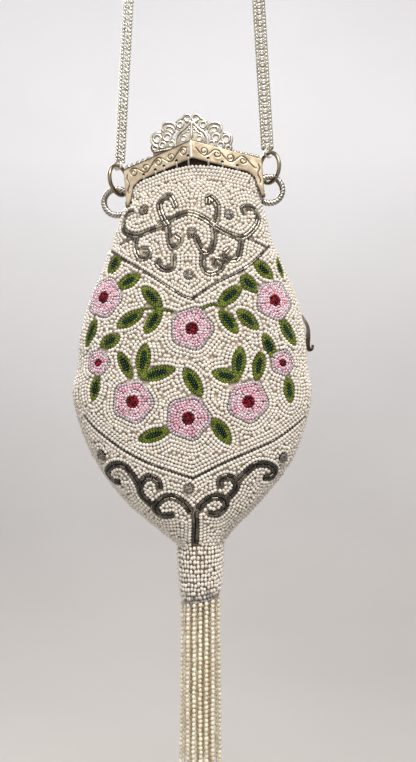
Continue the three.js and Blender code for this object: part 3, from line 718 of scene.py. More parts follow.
for x0, y0, x1, y1, width in LEAVES:
    midrib = line_on_cloth(front, [(x0, y0), ((x0 + x1) / 2, (y0 + y1) / 2), (x1, y1)], steps=12)
    belly = np.sin(np.linspace(0, math.pi, len(midrib))) ** BELLY_POWER
    half = width * LEAF_FULLNESS * MM / 2 - LEAF_BEAD / 2
    ribs = max(1, int(math.ceil(half / LEAF_ROW)))
    edge_tones = (LEAF_LIME, LEAF_LIME, LEAF_OLIVE)
    heart_tones = (LEAF_HEART, LEAF_HEART, LEAF_EMERALD)
    for k in range(-ribs, ribs + 1):
        line = beside(front, midrib, belly * half * k / ribs)
        off_middle = k / ribs / HEART_WIDTH
        if abs(off_middle) >= 1:
            sew_line(front, leaf_beads, line, LEAF_BEAD, LEAF_PITCH, edge_tones, EDGE_SPREAD)
            continue
        reach = HEART_LENGTH / 2 * math.sqrt(1 - off_middle**2)
        first, last = (int(share * len(line)) for share in (0.5 - reach, 0.5 + reach))
        sew_line(front, leaf_beads, line[first:last + 1], LEAF_BEAD, LEAF_PITCH, heart_tones, HEART_SPREAD)
        for tip in (line[1:first + 1], line[last:-1]):
            sew_line(front, leaf_beads, tip, LEAF_BEAD, LEAF_PITCH, edge_tones, EDGE_SPREAD)
for stem in STEMS:
    sew_line(front, leaf_beads, line_on_cloth(front, stem), LEAF_BEAD, LEAF_PITCH, (LEAF_LIME, LEAF_OLIVE))
leaf_glass = bead_finish("leaf_glass", roughness=0.25, coat=0.2, gloss=0.3)
sewn_piece("leaf_beads", leaf_beads, leaf_glass, "beaded_cloth")

# The scrolls and the lines. Silver-lined bugle beads sewn end to end in curls on the neck and in a
# chevron below it, and dark grey ones in a second chevron and in curls on either side of a stem.
UPPER_SCROLLS = [
    # points of each curl, across and down the photograph
    [(160, 227), (174, 219), (189, 214), (203, 219), (214, 227)],
    [(176, 208), (169.5, 197), (160, 205), (163, 218), (168, 226)],
    [(207.6, 205), (209, 198), (217, 206.5), (216, 221), (211, 226)],
    [(168, 226), (153, 230.5), (138, 236), (127, 233), (125, 225), (129, 215), (134, 213)],
    [(214, 227), (229, 235), (242.5, 238), (254, 228), (257, 218), (251, 209), (242.5, 209), (244, 215)],
    [(138, 238), (136, 248), (140, 258), (148, 258), (149.6, 251), (143, 250)],
    [(241, 239), (239, 253), (236, 260), (227.5, 260), (225, 253), (229, 250)],
    [(168, 228), (169.5, 240), (172, 248), (178, 246), (181, 240), (176, 236)],
    [(173.6, 256), (173, 268), (164.5, 270), (158, 264.5), (160, 261)],
    [(213, 228), (214, 240), (211, 250), (204, 253), (199, 246), (196, 238)],
    [(203, 255), (203, 268), (209, 274), (219, 271), (222, 264.5), (216, 260), (214, 266)],
]
UPPER_CHEVRON = [
    [(112, 251), (125.8, 260.8), (152, 276.5), (179.5, 294.4), (192, 299.7)],
    [(192, 299.7), (215.2, 283.9), (234.2, 274.4), (251, 264), (268, 247)],
    [(121.6, 245.5), (130, 241), (138, 237)],
    [(243, 238), (253, 242), (263, 247)],
]
LOWER_CHEVRON = [
    [(86, 415), (98, 429), (121.5, 447.7), (145.3, 461), (167.8, 469.5), (193, 478)],
    [(193, 478), (223.9, 462.4), (249, 451.2), (273, 440), (290, 428), (303, 416)],
]
LOWER_SCROLLS = [
    [(195, 511), (195.5, 526), (195, 543)],
    [(191, 511), (184, 502), (172, 496), (162, 499), (156, 507.5), (163, 514), (174, 513.5)],
    [(153, 504), (143, 494), (141, 485), (148, 476.5), (158, 480), (160, 488.6)],
    [(141, 487), (134, 475), (125, 465), (115, 464), (109, 471), (115, 479), (121, 481)],
    [(198, 509), (205, 500.6), (215, 496), (223.6, 499), (224.5, 506), (217, 513), (208, 512)],
    [(225, 499), (234, 490), (236, 482), (229, 476.5), (220, 479), (220, 487)],
    [(236, 482), (246, 471), (256, 464), (267, 464), (273.5, 469), (271, 475.6), (263, 476.5)],
]
UPPER_BUGLE = 1.5 * MM
LOWER_BUGLE = 1.75 * MM
LINE_BUGLE = 1.2 * MM
BUGLE_PITCH = 3.0 * MM
BUGLE_SILVER = [(0.135, 0.120, 0.095), (0.21, 0.185, 0.145), (0.45, 0.41, 0.33)]
BUGLE_DARK = [(0.040, 0.033, 0.026), (0.060, 0.050, 0.040), (0.15, 0.125, 0.095)]
BUGLE_SPREAD = 0.3
LONG_BEAD = ((-0.5, 0.72), (-0.45, 1.0), (-0.41, 1.0), (0.41, 1.0), (0.45, 1.0), (0.5, 0.72))
bugle_beads = BeadRow()


def sew_scroll(photo_points, width, tones):
    """Two rows of bugles side by side along one curl."""
    line = line_on_cloth(front, photo_points)
    for way in (1, -1):
        row = beside(front, line, [way * width / 2] * len(line))
        sew_line(front, bugle_beads, row, width, BUGLE_PITCH, tones, BUGLE_SPREAD)


for scroll in UPPER_SCROLLS:
    sew_scroll(scroll, UPPER_BUGLE, BUGLE_SILVER)
for scroll in LOWER_SCROLLS:
    sew_scroll(scroll, LOWER_BUGLE, BUGLE_DARK)
for lines, tones in ((UPPER_CHEVRON, BUGLE_DARK + BUGLE_SILVER), (LOWER_CHEVRON, BUGLE_DARK)):
    for line in lines:
        sew_line(front, bugle_beads, line_on_cloth(front, line), LINE_BUGLE, BUGLE_PITCH, tones, BUGLE_SPREAD)
bugle_glass = bead_finish("bugle_glass", roughness=0.16, coat=0.7, metallic=0.6)
sewn_piece("bugle_beads", bugle_beads, bugle_glass, "beaded_cloth", hoops=LONG_BEAD)

# The cut stones. Seven round foil-backed stones in silver cups, sewn on among the scrolls: the solids
# are the cups, each with a faceted stone on it and a grained silver edge set round the stone.
STONES = {  # each stone's tint: some browner and some darker
    "stone_upper_left": (0.60, 0.50, 0.38),
    "stone_upper_right": (1.0, 1.0, 1.0),
    "stone_upper_middle": (0.66, 0.56, 0.45),
    "stone_point": (0.95, 0.88, 0.80),
    "stone_lower_left": (0.34, 0.34, 0.36),
    "stone_lower_right": (0.34, 0.33, 0.34),
    "stone_lower_middle": (0.62, 0.56, 0.50),
}
STONE_ROOM = 2.5 * MM
STONE_BASE = 0.6 * MM  # of the cup above the cloth
STONE_CUT = ((1.95, 1.5), (1.7, 2.0), (1.15, 2.6), (0.0, 2.62))  # radius and height of the rows of facets
STONE_SIDES = 8
CUP_RADIUS = 2.1 * MM
CUP_HEIGHT = 2.0 * MM  # of the grained edge above the cloth
CUP_GRAINS = 14
CUP_GRAIN = 0.8 * MM
CUP_SILVER = (0.34, 0.30, 0.24)
FACET_REFLECTIONS = (0.10, 0.34, 0.74, 1.0)  # painted reflections: how bright one facet and another is painted
CUP_SPREAD = 0.3
METAL_GRAIN, METAL_DETAIL = 220.0, 6.0
POLISHED, DULLED = 0.1, 0.14  # how far the roughness of worn metal goes down and up
PITTING, PIT_DEPTH = 0.25, 0.1 * MM
UPRIGHT = np.array([0.0, 0.0, 1.0])
cup_beads = BeadRow()
gem_corners, gem_colours = [], []


def aged_metal(name, dark, light, roughness, patina_and_shade=None, patina_and_shade_tone=(0.05, 0.035, 0.022)):
    """Worn metal, mottled and lightly pitted, darker where an attribute says so, which holds patina in some
    hollows and painted shade in others.
    """
    material, tree, shader = new_finish(name)
    colour, grain = mottle(tree, dark, light, METAL_GRAIN, METAL_DETAIL)
    if patina_and_shade:
        colour = tinted(tree, colour, patina_and_shade, patina_and_shade_tone)
    tree.links.new(colour, shader.inputs["Base Color"])
    rough = tree.nodes.new("ShaderNodeMapRange")
    rough.inputs["To Min"].default_value = roughness - POLISHED
    rough.inputs["To Max"].default_value = roughness + DULLED
    tree.links.new(grain, rough.inputs["Value"])
    tree.links.new(rough.outputs["Result"], shader.inputs["Roughness"])
    shader.inputs["Metallic"].default_value = 1.0
    add_bump(tree, shader, grain, PITTING, PIT_DEPTH)
    return material


def finish_solid(name, material, worn_edge=0.0, segments=2):
    """The finish of a solid that shows itself, with its edges worn round."""
    solid = bpy.data.objects[name]
    solid.data.materials.clear()
    solid.data.materials.append(material)
    if worn_edge:
        bevel = solid.modifiers.new("worn_edges", "BEVEL")
        bevel.width = worn_edge
        bevel.segments = segments
        bevel.limit_method = "ANGLE"


def cut_facets():
    """Triangles of a round cut stone, every other row turned by half a facet."""
    rings = []
    for k, (radius, height) in enumerate(STONE_CUT):
        turn = 2 * math.pi * (np.arange(STONE_SIDES) + 0.5 * (k % 2)) / STONE_SIDES
        level = np.full(STONE_SIDES, height)
        rings.append(np.stack([radius * np.cos(turn), radius * np.sin(turn), level], axis=1))
    facets = []
    for k in range(len(rings) - 1):
        low, high = rings[k], rings[k + 1]
        for s in range(STONE_SIDES):
            after = (s + 1) % STONE_SIDES
            ahead = (s if k % 2 == 0 else after)
            facets.append((low[s], low[after], high[ahead]))
            facets.append((low[after], high[(ahead + 1) % STONE_SIDES], high[ahead]))
    return np.array(facets) * MM


for name, tint in STONES.items():
    middle = np.array(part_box(name)).mean(axis=0)
    r, c = np.unravel_index(np.argmin(((front.points - middle) ** 2).sum(axis=2)), front.points.shape[:2])
    out = front.out[r, c]
    seat = middle - out * ((middle - front.points[r, c]) @ out)
    motif_marks.append((seat, STONE_ROOM))
    sideways = unit(np.cross(out, UPRIGHT))
    upward = np.cross(sideways, out)
    for facet in cut_facets():
        gem_corners.append(seat + out * STONE_BASE + facet @ np.array([sideways, upward, out]))
        # Each facet gets a painted reflection, dark or bright.
        facet_reflection = dice.choice(FACET_REFLECTIONS)
        gem_colours += [(*[facet_reflection * share for share in tint], 1.0)] * 3
    for k in range(CUP_GRAINS):
        turn = 2 * math.pi * k / CUP_GRAINS
        spoke = sideways * math.cos(turn) + upward * math.sin(turn)
        cup_beads.sew(seat + spoke * CUP_RADIUS + out * CUP_HEIGHT, np.cross(out, spoke), out,
                      CUP_GRAIN, CUP_GRAIN, lively(CUP_SILVER, CUP_SPREAD))
gem_mesh = smooth_mesh("stone_facets", np.array(gem_corners).reshape(-1, 3),
                       np.arange(3 * len(gem_corners)).reshape(-1, 3))
gem_mesh.polygons.foreach_set("use_smooth", np.zeros(len(gem_corners), dtype=bool))
colour_on(gem_mesh, gem_colours)
foiled_glass = bead_finish("foiled_glass", roughness=0.06, coat=1.0, metallic=0.6)
bag_piece("stone_facets", gem_mesh, foiled_glass)
cup_metal = aged_metal("cup_metal", dark=(0.16, 0.14, 0.11), light=(0.34, 0.31, 0.26), roughness=0.3)
for name in STONES:
    finish_solid(name, cup_metal)
cup_silver = bead_finish("cup_silver", roughness=0.3, coat=0.0, metallic=1.0)
sewn_piece("stone_cups", cup_beads, cup_silver, "cut_stone", sides=6)

# The ground. Ivory seed beads fill the rest of the front and the whole back, sewn in rows that follow
# the edges of the cloth and the outlines of the flowers, leaves and scrolls, row after row.
SEED_WIDTH = 2.25 * MM
SEED_PITCH = 1.7 * MM
SEED_SINK = 0.25 * MM  # the thread draws each bead this far into the cloth
ROW_PITCH = 1.78 * MM
CROWDED = 0.86  # beads of other rows stay this share of a pitch away
FILL_ROOM = 1.35 * MM
SEED_IVORY = (0.90, 0.85, 0.77)
SEED_SPREAD = 0.08
SEED_LEAN = 0.12
SEED_UNEVEN = 0.12 * MM  # how far a bead stands higher or lower than the next
SEED_SIZES, SEED_LENGTHS = (0.92, 1.05), (0.92, 1.02)
NEAREST_MARKS = 4  # looked at for the room at each place
BESIDE_ROW = 0.4 * MM  # a row may start this near its line
ROW_ENDS, FILL_FROM = 0.35, 0.42  # least room, as a share of the row pitch, in a row and in a gap
SETTLE_TRIES, SETTLE_PUSH = 2, 0.6
CELL = 2 * MM  # of space, by which sewn beads are looked up
FLAT_SLOPE, NO_LENGTH = 1e-6, 1e-12  # slopes and lengths below these count as none
FRAME_TILT = math.radians(4.6)  # the frame hangs with its right side higher
FRAME_SHIFT = np.array([0.2 * MM, 0.0, FRAME_CORNERS - 0.6 * MM])
HALF_WIDTH = 34 * MM  # of the frame
RISE = 10 * MM  # of the frame's peak above its corners
BAND_HEIGHT = 8.8 * MM  # at the middle
BAND_END_HEIGHT = 8.4 * MM
BAND_END = 26.5 * MM  # from the middle to where the band meets the leg
LEG_LENGTH = 18 * MM
LEG_SHOULDER = 9 * MM
LEG_TOP_WIDTH = 4.2 * MM
LEG_TIP_WIDTH = 1.4 * MM
BEADS_BELOW_BAND = 0.9 * MM  # from the band's lower edge to the first row of beads
BEADS_BELOW_PEAK = 1.8 * MM  # added to that in the middle, where the rows run level under the peak
PEAK_REACH = 14 * MM
PEAK_POWER = 1.5
HIDDEN_DEPTH = 1.0 * MM  # places above the first row count as no further above it than this
SEAM_TOP = 28  # first row of the panel's grid below the legs


class SewnPlaces:
    """Where beads already are, looked up by the cell of space they are in."""

    def __init__(self, cell):
        self.cell = cell
        self.cells = {}

    def key(self, place):
        return tuple(int(math.floor(p / self.cell)) for p in place)

    def add(self, place):
        self.cells.setdefault(self.key(place), []).append(place)

    def within(self, place, room):
        x, y, z = self.key(place)
        for i in (x - 1, x, x + 1):
            for j in (y - 1, y, y + 1):
                for k in (z - 1, z, z + 1):
                    for other in self.cells.get((i, j, k), ()):
                        gap = other - place
                        if gap @ gap < room * room:
                            return True
        return False


def in_frame(points):
    """Places seen along the leaning frame's own axes, from the middle of its corners."""
    moved = np.asarray(points) - FRAME_SHIFT
    x, z = moved[..., 0], moved[..., 2]
    across = x * math.cos(FRAME_TILT) + z * math.sin(FRAME_TILT)
    height = z * math.cos(FRAME_TILT) - x * math.sin(FRAME_TILT)
    return np.stack([across, moved[..., 1], height], axis=-1)


def from_frame(points):
    """The way back, from the frame's own axes to the bag's."""
    points = np.asarray(points, dtype=float)
    x, z = points[..., 0], points[..., 2]
    across = x * math.cos(FRAME_TILT) - z * math.sin(FRAME_TILT)
    height = x * math.sin(FRAME_TILT) + z * math.cos(FRAME_TILT)
    return np.stack([across, points[..., 1], height], axis=-1) + FRAME_SHIFT


def band_low(x):
    """Height of the band's lower edge in the frame's axes."""
    slope = (BAND_HEIGHT - BAND_END_HEIGHT) / BAND_END - RISE / HALF_WIDTH
    return RISE - BAND_HEIGHT + slope * np.abs(x)


def plate_low(x):
    """Height of the plate's lower edge: the band's, then down the inner side of the leg."""
    corners = (0.0, BAND_END, HALF_WIDTH - LEG_TOP_WIDTH, HALF_WIDTH - LEG_TIP_WIDTH, HALF_WIDTH)
    heights = (band_low(0.0), band_low(BAND_END), -LEG_SHOULDER, -LEG_LENGTH, -LEG_LENGTH)
    return np.interp(np.abs(x), corners, heights)


def bead_top(x):
    peak = np.clip(1 - np.abs(x) / PEAK_REACH, 0, 1) ** PEAK_POWER
    return plate_low(x) - BEADS_BELOW_BAND - BEADS_BELOW_PEAK * peak


def nearest_tree(places):
    """A tree by which the nearest of many places is found."""
    tree = KDTree(len(places))
    for k, place in enumerate(places):
        tree.insert(place, k)
    tree.balance()
    return tree


def room_to_marks(panel, marks):
    """For each grid point, the distance to the nearest edge or motif, below zero where no bead goes."""
    local = in_frame(panel.points)
    below_band = bead_top(local[..., 0]) - local[..., 2]
    below_band[(np.abs(local[..., 0]) > HALF_WIDTH - LEG_TIP_WIDTH) & (below_band > 0)] = HALF_WIDTH
    seams = [*panel.points[SEAM_TOP:, 0], *panel.points[SEAM_TOP:, -1]]
    every = [(p, 0.0) for p in (*panel.points[-1], *seams)] + marks
    tree = nearest_tree([place for place, _ in every])
    room = np.empty(panel.points.shape[:2])
    for i in range(panel.ROWS + 1):
        for j in range(panel.COLUMNS + 1):
            near = tree.find_n(panel.points[i, j], NEAREST_MARKS)
            room[i, j] = min(distance - every[k][1] for _, k, distance in near)
    return np.minimum(room, np.maximum(below_band, -HIDDEN_DEPTH))


def sew_ground(panel, room, beads, width, row_pitch, pitch, colour):
    """Rows of beads along lines of equal room, from the edges and motifs inwards, then the odd gaps."""
    slope_down, slope_right = np.gradient(room)
    sewn = SewnPlaces(CELL)

    def settle(row, column, level):
        for _ in range(SETTLE_TRIES):
            a, b = panel.at(slope_down, row, column), panel.at(slope_right, row, column)
            steep = math.hypot(a, b)
            if steep < FLAT_SLOPE:
                break
            push = (level - panel.at(room, row, column)) / steep
            push = min(max(push, -SETTLE_PUSH), SETTLE_PUSH) / steep
            row, column = row + a * push, column + b * push
        return row, column

    def direction(row, column):
        a, b = panel.at(slope_down, row, column), panel.at(slope_right, row, column)
        way = panel.at(panel.right, row, column) * a - panel.at(panel.down, row, column) * b
        length = np.linalg.norm(way)
        return (-b / length, a / length, way / length) if length > NO_LENGTH else None

    def sew(row, column, way):
        middle = panel.at(panel.points, row, column)
        out = unit(panel.at(panel.out, row, column))
        sewn.add(middle)
        lean = uneven(SEED_LEAN)
        size = dice.uniform(*SEED_SIZES)
        height = width / 2 - SEED_SINK + dice.gauss(0, SEED_UNEVEN)
        beads.sew(middle + out * height, way + lean, out, width * size,
                  pitch * dice.uniform(*SEED_LENGTHS), lively(colour, SEED_SPREAD))

    for k in range(int(room.max() / row_pitch) + 1):
        level = (k + 0.5) * row_pitch
        for i, j in np.argwhere(np.abs(room - level) < BESIDE_ROW):
            row, column = settle(float(i), float(j), level)
            found = direction(row, column)
            if found is None or not panel.inside(row, column):
                continue
            if sewn.within(panel.at(panel.points, row, column), CROWDED * pitch):
                continue
            sew(row, column, found[2])
            for forward in (1, -1):
                r, c = row, column
                heading = None
                while True:
                    found = direction(r, c)
                    if found is None:
                        break
                    step_down, step_right, way = found
                    sign = forward if heading is None else (1 if way @ heading > 0 else -1)
                    heading = way * sign
                    r2, c2 = settle(r + step_down * sign * pitch, c + step_right * sign * pitch, level)
                    if not panel.inside(r2, c2) or panel.at(room, r2, c2) < ROW_ENDS * row_pitch:
                        break
                    if sewn.within(panel.at(panel.points, r2, c2), CROWDED * pitch):
                        break
                    r, c = r2, c2
                    sew(r, c, way)
    for i, j in np.argwhere(room > FILL_FROM * row_pitch):
        if not sewn.within(panel.points[i, j], FILL_ROOM):
            found = direction(float(i), float(j))
            way = panel.right[i, j] if found is None else found[2]
            sew(float(i), float(j), way)


seed_glass = bead_finish("ivory_seed_glass", roughness=0.3, coat=0.35)
back = Panel(BACK)
for name, panel, marks, sides in (("front_seed_beads", front, motif_marks, 7),
                                  ("back_seed_beads", back, [], 6)):
    seeds = BeadRow()
    sew_ground(panel, room_to_marks(panel, marks), seeds, SEED_WIDTH, ROW_PITCH, SEED_PITCH, SEED_IVORY)
    sewn_piece(name, seeds, seed_glass, "beaded_cloth", sides=sides)

# The frame. Two stamped halves of gilt white metal, worn to a pale champagne, hinged at the feet of the
# legs: a gabled band front and back, engraved with a running vine and drilled for the sewing thread.
RIDGE_DEPTH = 13 * MM
CORNER_DEPTH = 7 * MM
RIDGE_ROUND = 0.9 * MM  # the ridge is worn round over about this width
HOLES = [-24.2, -18.3, -13.9, -7.7, -1.9, 7.7, 14.5, 21.6]  # millimetres across the band
HOLE_MARGIN = 1.7 * MM
HOLE_RADIUS = 0.72 * MM
RELIEF_RISE = 0.26 * MM  # of the engraved face over the plate
RELIEF_COLUMNS = 401
TOP_SHADOW_LEFT, TOP_SHADOW_RIGHT = 0.8 * MM, 0.5 * MM  # width of the painted shadow line under the roof's edge
RIDGE_LINE, RIDGE_LINE_WIDTH = 0.28 * MM, 0.5 * MM  # the raised line down the ridge, which also carries a painted highlight
RELIEF_ROWS = 52
GROOVE_DEPTH = 0.22 * MM
GROOVE_WIDTH = 0.27 * MM
VINE_LOW = 2.5 * MM  # above the band's lower edge, where the vine dips
VINE_HIGH = 6.8 * MM
CURL_RADIUS = 2.1 * MM
CURL_TURNS = 1.2
CREST_LEFT, CREST_RIGHT = -4.2 * MM, 12.2 * MM  # the vine's first crest on either side of the ridge
VINE_PERIOD = 12.5 * MM
VINE_FROM, VINE_TO, VINE_STEPS = 2.2 * MM, 31 * MM, 240
CURL_FROM, CURL_TO, CURL_STEPS = 3 * MM, 30 * MM, 60
MOST_CURLS = 3  # tried either way from the first crest
CURL_TIGHTENS = 0.72  # share of the radius lost by the end of a curl
LEG_LINE = 1.9 * MM  # from the leg's outer edge to the wavy line down it
LEG_WAVE, LEG_WAVES, LEG_FROM, LEG_TO = 0.5 * MM, 9, -3 * MM, -12 * MM
RELIEF_MARGIN = 0.1 * MM
RIM_ROLL = 0.45 * MM  # width of the rounded rim
GROOVE_DARK = 0.95


def plate_front(x):
    return -RIDGE_DEPTH + (RIDGE_DEPTH - CORNER_DEPTH) * np.hypot(x, RIDGE_ROUND) / HALF_WIDTH


def roof_top(x):
    return RISE * (1 - np.abs(x) / HALF_WIDTH)


def curl(x, z, first, sense):
    """A spiral line in the plate's plane from a start angle inwards, turning one way or the other."""
    t = np.linspace(0, 1, CURL_STEPS)
    angle = first + sense * 2 * math.pi * CURL_TURNS * t
    radius = CURL_RADIUS * (1 - CURL_TIGHTENS * t)
    return np.stack([x + radius * np.cos(angle), z + radius * np.sin(angle)], axis=1)


def vine_lines():
    """The engraved lines of the band: a wave on each side of the ridge, with a curl in each bend."""
    lines = []
    for side, crest in ((-1, CREST_LEFT), (1, CREST_RIGHT)):
        x = side * np.linspace(VINE_FROM, VINE_TO, VINE_STEPS)
        swing = np.cos(2 * math.pi * (x - crest) / VINE_PERIOD)
        middle, reach = (VINE_HIGH + VINE_LOW) / 2, (VINE_HIGH - VINE_LOW) / 2
        lines.append(np.stack([x, band_low(x) + middle + reach * swing], axis=1))
        for k in range(-MOST_CURLS, MOST_CURLS + 1):
            for half, end, sense in ((0.0, VINE_HIGH - CURL_RADIUS, -1), (0.5, VINE_LOW + CURL_RADIUS, 1)):
                at = crest + (k + half) * VINE_PERIOD
                if CURL_FROM < at * side < CURL_TO:
                    first = math.pi / 2 if half == 0 else -math.pi / 2
                    lines.append(curl(at, band_low(at) + end, first, sense))
        leg = side * (HALF_WIDTH - LEG_LINE)
        lines.append(np.stack([leg + side * LEG_WAVE * np.sin(np.linspace(0, LEG_WAVES, CURL_STEPS)),
                               np.linspace(LEG_FROM, LEG_TO, CURL_STEPS)], axis=1))
    return np.vstack(lines)


GILT_DARK = (0.44, 0.335, 0.215)
GILT_LIGHT = (0.87, 0.735, 0.535)
RIDGE_HIGHLIGHT = (1.0, 0.98, 0.93)
PALE_FROM, PALE_TO = FRAME_CORNERS + 9 * MM, FRAME_CORNERS + 13 * MM  # the solids' painted shade gives way to a paler tone in the crown
PALE_DARK, PALE_LIGHT = (0.40, 0.35, 0.26), (0.70, 0.64, 0.51)
FRAME_WEAR = 0.15 * MM
# The solids are painted dark, as painted shade for the hollows behind and under the engraved plates; the
# crown above keeps a paler tone.
shaded_solid_gilt = aged_metal("shaded_gilt", dark=(0.13, 0.10, 0.06), light=(0.30, 0.24, 0.155), roughness=0.36)
recolour(shaded_solid_gilt, lambda tree, band_tone: mix_by_height(
    tree, band_tone, mottle(tree, PALE_DARK, PALE_LIGHT, METAL_GRAIN, METAL_DETAIL)[0], PALE_FROM, PALE_TO))
engraved_gilt = aged_metal("engraved_gilt", GILT_DARK, GILT_LIGHT, roughness=0.36, patina_and_shade="patina_and_shade",
                           patina_and_shade_tone=(0.016, 0.011, 0.006))
# A painted highlight down the raised line of the ridge.
recolour(engraved_gilt, lambda tree, colour: tinted(tree, colour, "ridge_highlight", RIDGE_HIGHLIGHT))
for name in ("frame_front", "frame_back", "hinge_pin_left", "hinge_pin_right"):
    finish_solid(name, shaded_solid_gilt, worn_edge=FRAME_WEAR)

vine = vine_lines()
vine_tree = nearest_tree([(x, z, 0.0) for x, z in vine])
across = np.linspace(-HALF_WIDTH + RELIEF_MARGIN, HALF_WIDTH - RELIEF_MARGIN, RELIEF_COLUMNS)
up = np.linspace(0, 1, RELIEF_ROWS)[:, None]
low = plate_low(across) + RELIEF_MARGIN
high = roof_top(across) - RELIEF_MARGIN
plate_z = low + (high - low) * up
plate_x = np.broadcast_to(across, plate_z.shape)
to_vine = np.array([vine_tree.find((x, z, 0.0))[2] for x, z in zip(plate_x.ravel(), plate_z.ravel())])
to_vine = to_vine.reshape(plate_z.shape)
to_rim = np.minimum(np.minimum(plate_z - low, high - plate_z), (HALF_WIDTH - np.abs(plate_x)))
groove = np.exp(-((to_vine / GROOVE_WIDTH) ** 2))
rolled = np.sqrt(np.clip(to_rim / RIM_ROLL, 0, 1))
plate_y = plate_front(plate_x) - RELIEF_RISE * rolled + GROOVE_DEPTH * groove * rolled
top_shadow = np.where(plate_x < 0, TOP_SHADOW_LEFT, TOP_SHADOW_RIGHT)
# Patina in the engraved grooves, and a painted shadow line along the plate's top edge, wider on the left.
patina_and_shade = np.clip(GROOVE_DARK * groove + np.exp(-(((high - plate_z) / top_shadow) ** 2)), 0, 1)
ridge_highlight = np.exp(-((plate_x / RIDGE_LINE_WIDTH) ** 2)) * rolled
plate_y = plate_y - RIDGE_LINE * ridge_highlight
hole_z = [float(band_low(x * MM) + HOLE_MARGIN) for x in HOLES]
for side, name in ((FRONT, "frame_front_engraving"), (BACK, "frame_back_engraving")):
    points = from_frame(np.stack([plate_x, plate_y * -side, plate_z], axis=2))
    faces = grid_faces(RELIEF_ROWS, RELIEF_COLUMNS)
    faces = faces[:, ::-1] if side == FRONT else faces
    open_face = np.zeros(len(faces), dtype=bool)
    mid_x = plate_x.reshape(-1)[faces].mean(axis=1)
    mid_z = plate_z.reshape(-1)[faces].mean(axis=1)
    for x, z in zip(HOLES, hole_z):
        open_face |= np.hypot(mid_x - x * MM, mid_z - z) < HOLE_RADIUS
    mesh = smooth_mesh(name, points.reshape(-1, 3), faces[~open_face])
    share_on(mesh, "patina_and_shade", patina_and_shade)
    share_on(mesh, "ridge_highlight", ridge_highlight)
    bag_piece(name, mesh, engraved_gilt)


# The sewing thread. White cotton comes out of each hole in the band, over its lower edge and down into
# the first rows of beads, front and back.
def tube(path, radius, sides=8, closed=False, first=(0.0, 1.0, 0.0)):
    """Corners and faces of a round tube along a path, its side turned as little as the path allows."""
    path = np.asarray(path, dtype=float)
    if closed:
        ways = np.roll(path, -1, axis=0) - np.roll(path, 1, axis=0)
    else:
        ways = np.gradient(path, axis=0)
    ways = ways / np.linalg.norm(ways, axis=1, keepdims=True)
    radius = np.broadcast_to(radius, (len(path),))
    side = np.array(first)
    turn = 2 * math.pi * np.arange(sides) / sides
    corners = np.empty((len(path), sides, 3))
    for k, way in enumerate(ways):
        side = unit(side - way * (side @ way))
        other = np.cross(way, side)
        corners[k] = path[k] + radius[k] * (np.cos(turn)[:, None] * side + np.sin(turn)[:, None] * other)
    faces = [list(face) for face in grid_faces(len(path), sides, wrap=True, closed=closed)[:, ::-1]]
    if not closed:
        last = (len(path) - 1) * sides
        faces += [list(range(sides))[::-1], list(range(last, last + sides))]
    return corners.reshape(-1, 3), faces


def joined(parts):
    """Several parts, each with its corners and faces, as one."""
    corners, faces, count = [], [], 0
    for part_corners, part_faces in parts:
        corners.append(part_corners)
        faces += [[corner + count for corner in face] for face in part_faces]
        count += len(part_corners)
    return np.vstack(corners), faces


THREAD_RADIUS = 0.2 * MM
THREAD_SIDES = 6
THREAD_APART = 0.25 * MM  # half the distance between the two threads of a stitch, at its lower end
SEWN_BELOW = 0.6 * MM  # from the beads' upper edge to where the thread ends
SEWN_ABOVE_CLOTH = MM
THREAD_STOPS = [
    # millimetres out from the plate's face, and up from the hole (1) or from the band's lower edge (0)
    (-0.6, -0.35, 1),
    (0.4, -0.55, 1),
    (0.45, 0.1, 0),
    (-0.5, -0.5, 0),
]
cotton_finish = cotton("white_cotton_thread", dark=(0.50, 0.47, 0.42), light=(0.74, 0.71, 0.65), scale=1500.0,
                       roughness=0.8, relief=0.6, depth=0.1 * MM)
stitches = []
for side, panel in ((FRONT, front), (BACK, back)):
    local = in_frame(panel.points)
    for x, z in zip(HOLES, hole_z):
        x = x * MM
        low_edge = float(band_low(x))
        sewn_at = float(bead_top(x)) - SEWN_BELOW
        off = np.hypot(local[..., 0] - x, local[..., 2] - sewn_at)
        r, c = np.unravel_index(np.argmin(off), off.shape)
        face = abs(float(plate_front(x)))
        stops = [(face + out * MM, (z if at_hole else low_edge) + up * MM)
                 for out, up, at_hole in THREAD_STOPS]
        stops.append((abs(local[r, c, 1]) + SEWN_ABOVE_CLOTH, sewn_at))
        for apart in (-THREAD_APART, THREAD_APART):
            path = [(x + apart * (k + 1) / len(stops), side * depth, height)
                    for k, (depth, height) in enumerate(stops)]
            stitches.append(tube(from_frame(path), THREAD_RADIUS, THREAD_SIDES, first=(1.0, 0.0, 0.0)))
bag_piece("sewing_thread", smooth_mesh("sewing_thread", *joined(stitches)), cotton_finish)

